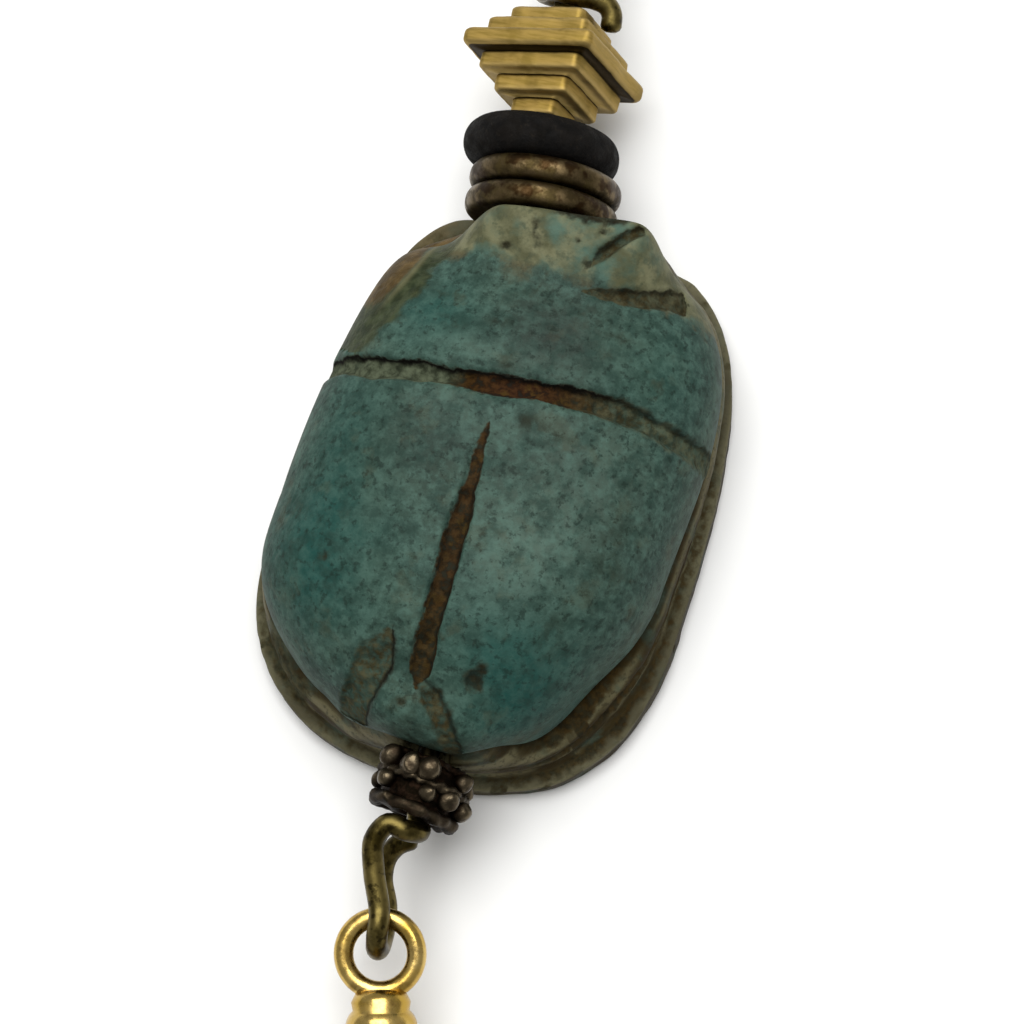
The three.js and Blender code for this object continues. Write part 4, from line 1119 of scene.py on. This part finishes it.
# Blackened silver: nearly black brown in the hollows, and a grey beige glint on each granule.
dark_silver, tree, shader = new_material("oxidised_silver", **{"Metallic": 1.0})
spot = add_node(tree, "ShaderNodeTexCoord").outputs["Object"]
rubbed = rubbed_patches(tree, cloudy(tree, spot, 0.5, 0.35, 0.6, 0.3, 1, detail=4.0))
tone = coated(
    tree, "#100c07",
    (cloudy(tree, spot, 0.3, 0.4, 0.65, detail=4.0), "#261b13"),
    (rubbed, "#5b5140"),
)
tree.links.new(tone, shader.inputs["Base Color"])
tree.links.new(passed(tree, 0, 1, (rubbed, 1), low=0.6, high=0.3), shader.inputs["Roughness"])
finely_rough(tree, shader, spot, 0.18, 0.6, 0.04)
spacer.data.materials.append(dark_silver)


# Gold drop
# A cast and polished gold drop: a round eye that hangs in the wire's eye, a short neck, a ball
# collar and a plain pear-shaped body. It leans so that its belly all but touches the table.
ring_size = 1.35
neck_radius = 1.1
collar_radius = 1.32
drop_radius = 2.3
drop_length = 7.2
drop_turn = radians(17.6)
table_gap = 0.02


def drop_profile():
    """Radius and distance from the eye: neck, a ball collar, then a belly that follows a bent
    half wave, from the eye down to the tip."""
    foot = -(ring_size + eye_tube * 0.2)
    collar_at = foot - neck_radius * 0.35 - collar_radius * 0.62
    waist_at = collar_at - collar_radius * 0.72
    turn = pi * (0.18 + 0.64 * np.linspace(0.17, 1, 16))
    collar = np.stack([collar_radius * np.sin(turn),
                       collar_at + collar_radius * 0.7 * np.cos(turn)], 1)
    along = 1 - (1 - np.linspace(0, 1, 60)) ** 1.35
    belly = np.clip(np.sin(pi * along ** 1.75), 0, 1) ** 0.62
    radius = 0.62 * neck_radius * (1 - along) ** 2 * (1 - belly) + drop_radius * belly
    radius[-1] = 0
    body = np.stack([radius, waist_at - drop_length * along], 1)
    top = [[0, foot + eye_tube * 0.5], [neck_radius * 0.8, foot + eye_tube * 0.3],
           [neck_radius, foot - neck_radius * 0.3]]
    return np.vstack([top, collar, body])


profile = drop_profile()
eye_height = bore_height + (eye_front + eye_back) / 2
lean_low, lean_high = -1.2, 1.2
for _ in range(40):
    lean = (lean_low + lean_high) / 2
    lowest = (eye_height + profile[:, 1] * sin(lean) - profile[:, 0] * cos(lean)).min()
    lean_low, lean_high = (lean, lean_high) if lowest > table_gap else (lean_low, lean)
lean = lean_low

count = 72
inner_profile = profile[1:-1]
turn = np.linspace(0, 2 * pi, count, endpoint=False)
body = np.stack([inner_profile[:, :1] * np.cos(turn), inner_profile[:, 1:] + 0 * turn,
                 inner_profile[:, :1] * np.sin(turn)], -1).reshape(-1, 3)
body = np.vstack([body, [[0, profile[0, 1], 0], [0, profile[-1, 1], 0]]])
body_faces = [bands(len(inner_profile), count), tips(len(inner_profile), count)]
eye_points, eye_faces = torus(ring_size, eye_tube, 0.0, 96, 24)
eye_points = eye_points[:, [0, 2, 1]] * [1, 1, -1]
drop_points, drop_faces = gather([(body, body_faces), (eye_points, eye_faces)])
drop_points = rotate(drop_points, (1, 0, 0), lean)
drop_points = rotate(drop_points, (0, 0, 1), drop_turn)
eye_place = np.array([[eye_shift * 0.8, eye_turn_at - eye_turn * 1.15, (eye_front + eye_back) / 2]])
drop_points += on_wire(eye_place)
drop = mesh_piece("gold_drop_cast", drop_points, drop_faces, "polished_gold", "gold_drop")

# Gold cast and polished, with a fine wear: bright cream glints, and warm brown patches that are a
# painted reflection of the dark room and also stand for places where the polish has gone.
bright_gold, tree, shader = new_material("polished_gold", **{"Metallic": 1.0})
spot = add_node(tree, "ShaderNodeTexCoord").outputs["Object"]
tone = coated(
    tree, "#b39240",
    (cloudy(tree, spot, 1.4, 0.35, 0.65, detail=4.0), "#cdb06a"),
    (cloudy(tree, spot, 0.7, 0.54, 0.68, 0.0, 0.6, detail=4.0), "#7f5f22"),
)
tree.links.new(tone, shader.inputs["Base Color"])
tree.links.new(cloudy(tree, spot, 0.5, 0.35, 0.7, 0.2, 0.36, detail=4.0), shader.inputs["Roughness"])
finely_rough(tree, shader, spot, 0.5, 0.35, 0.04, detail=3.0)
drop.data.materials.append(bright_gold)
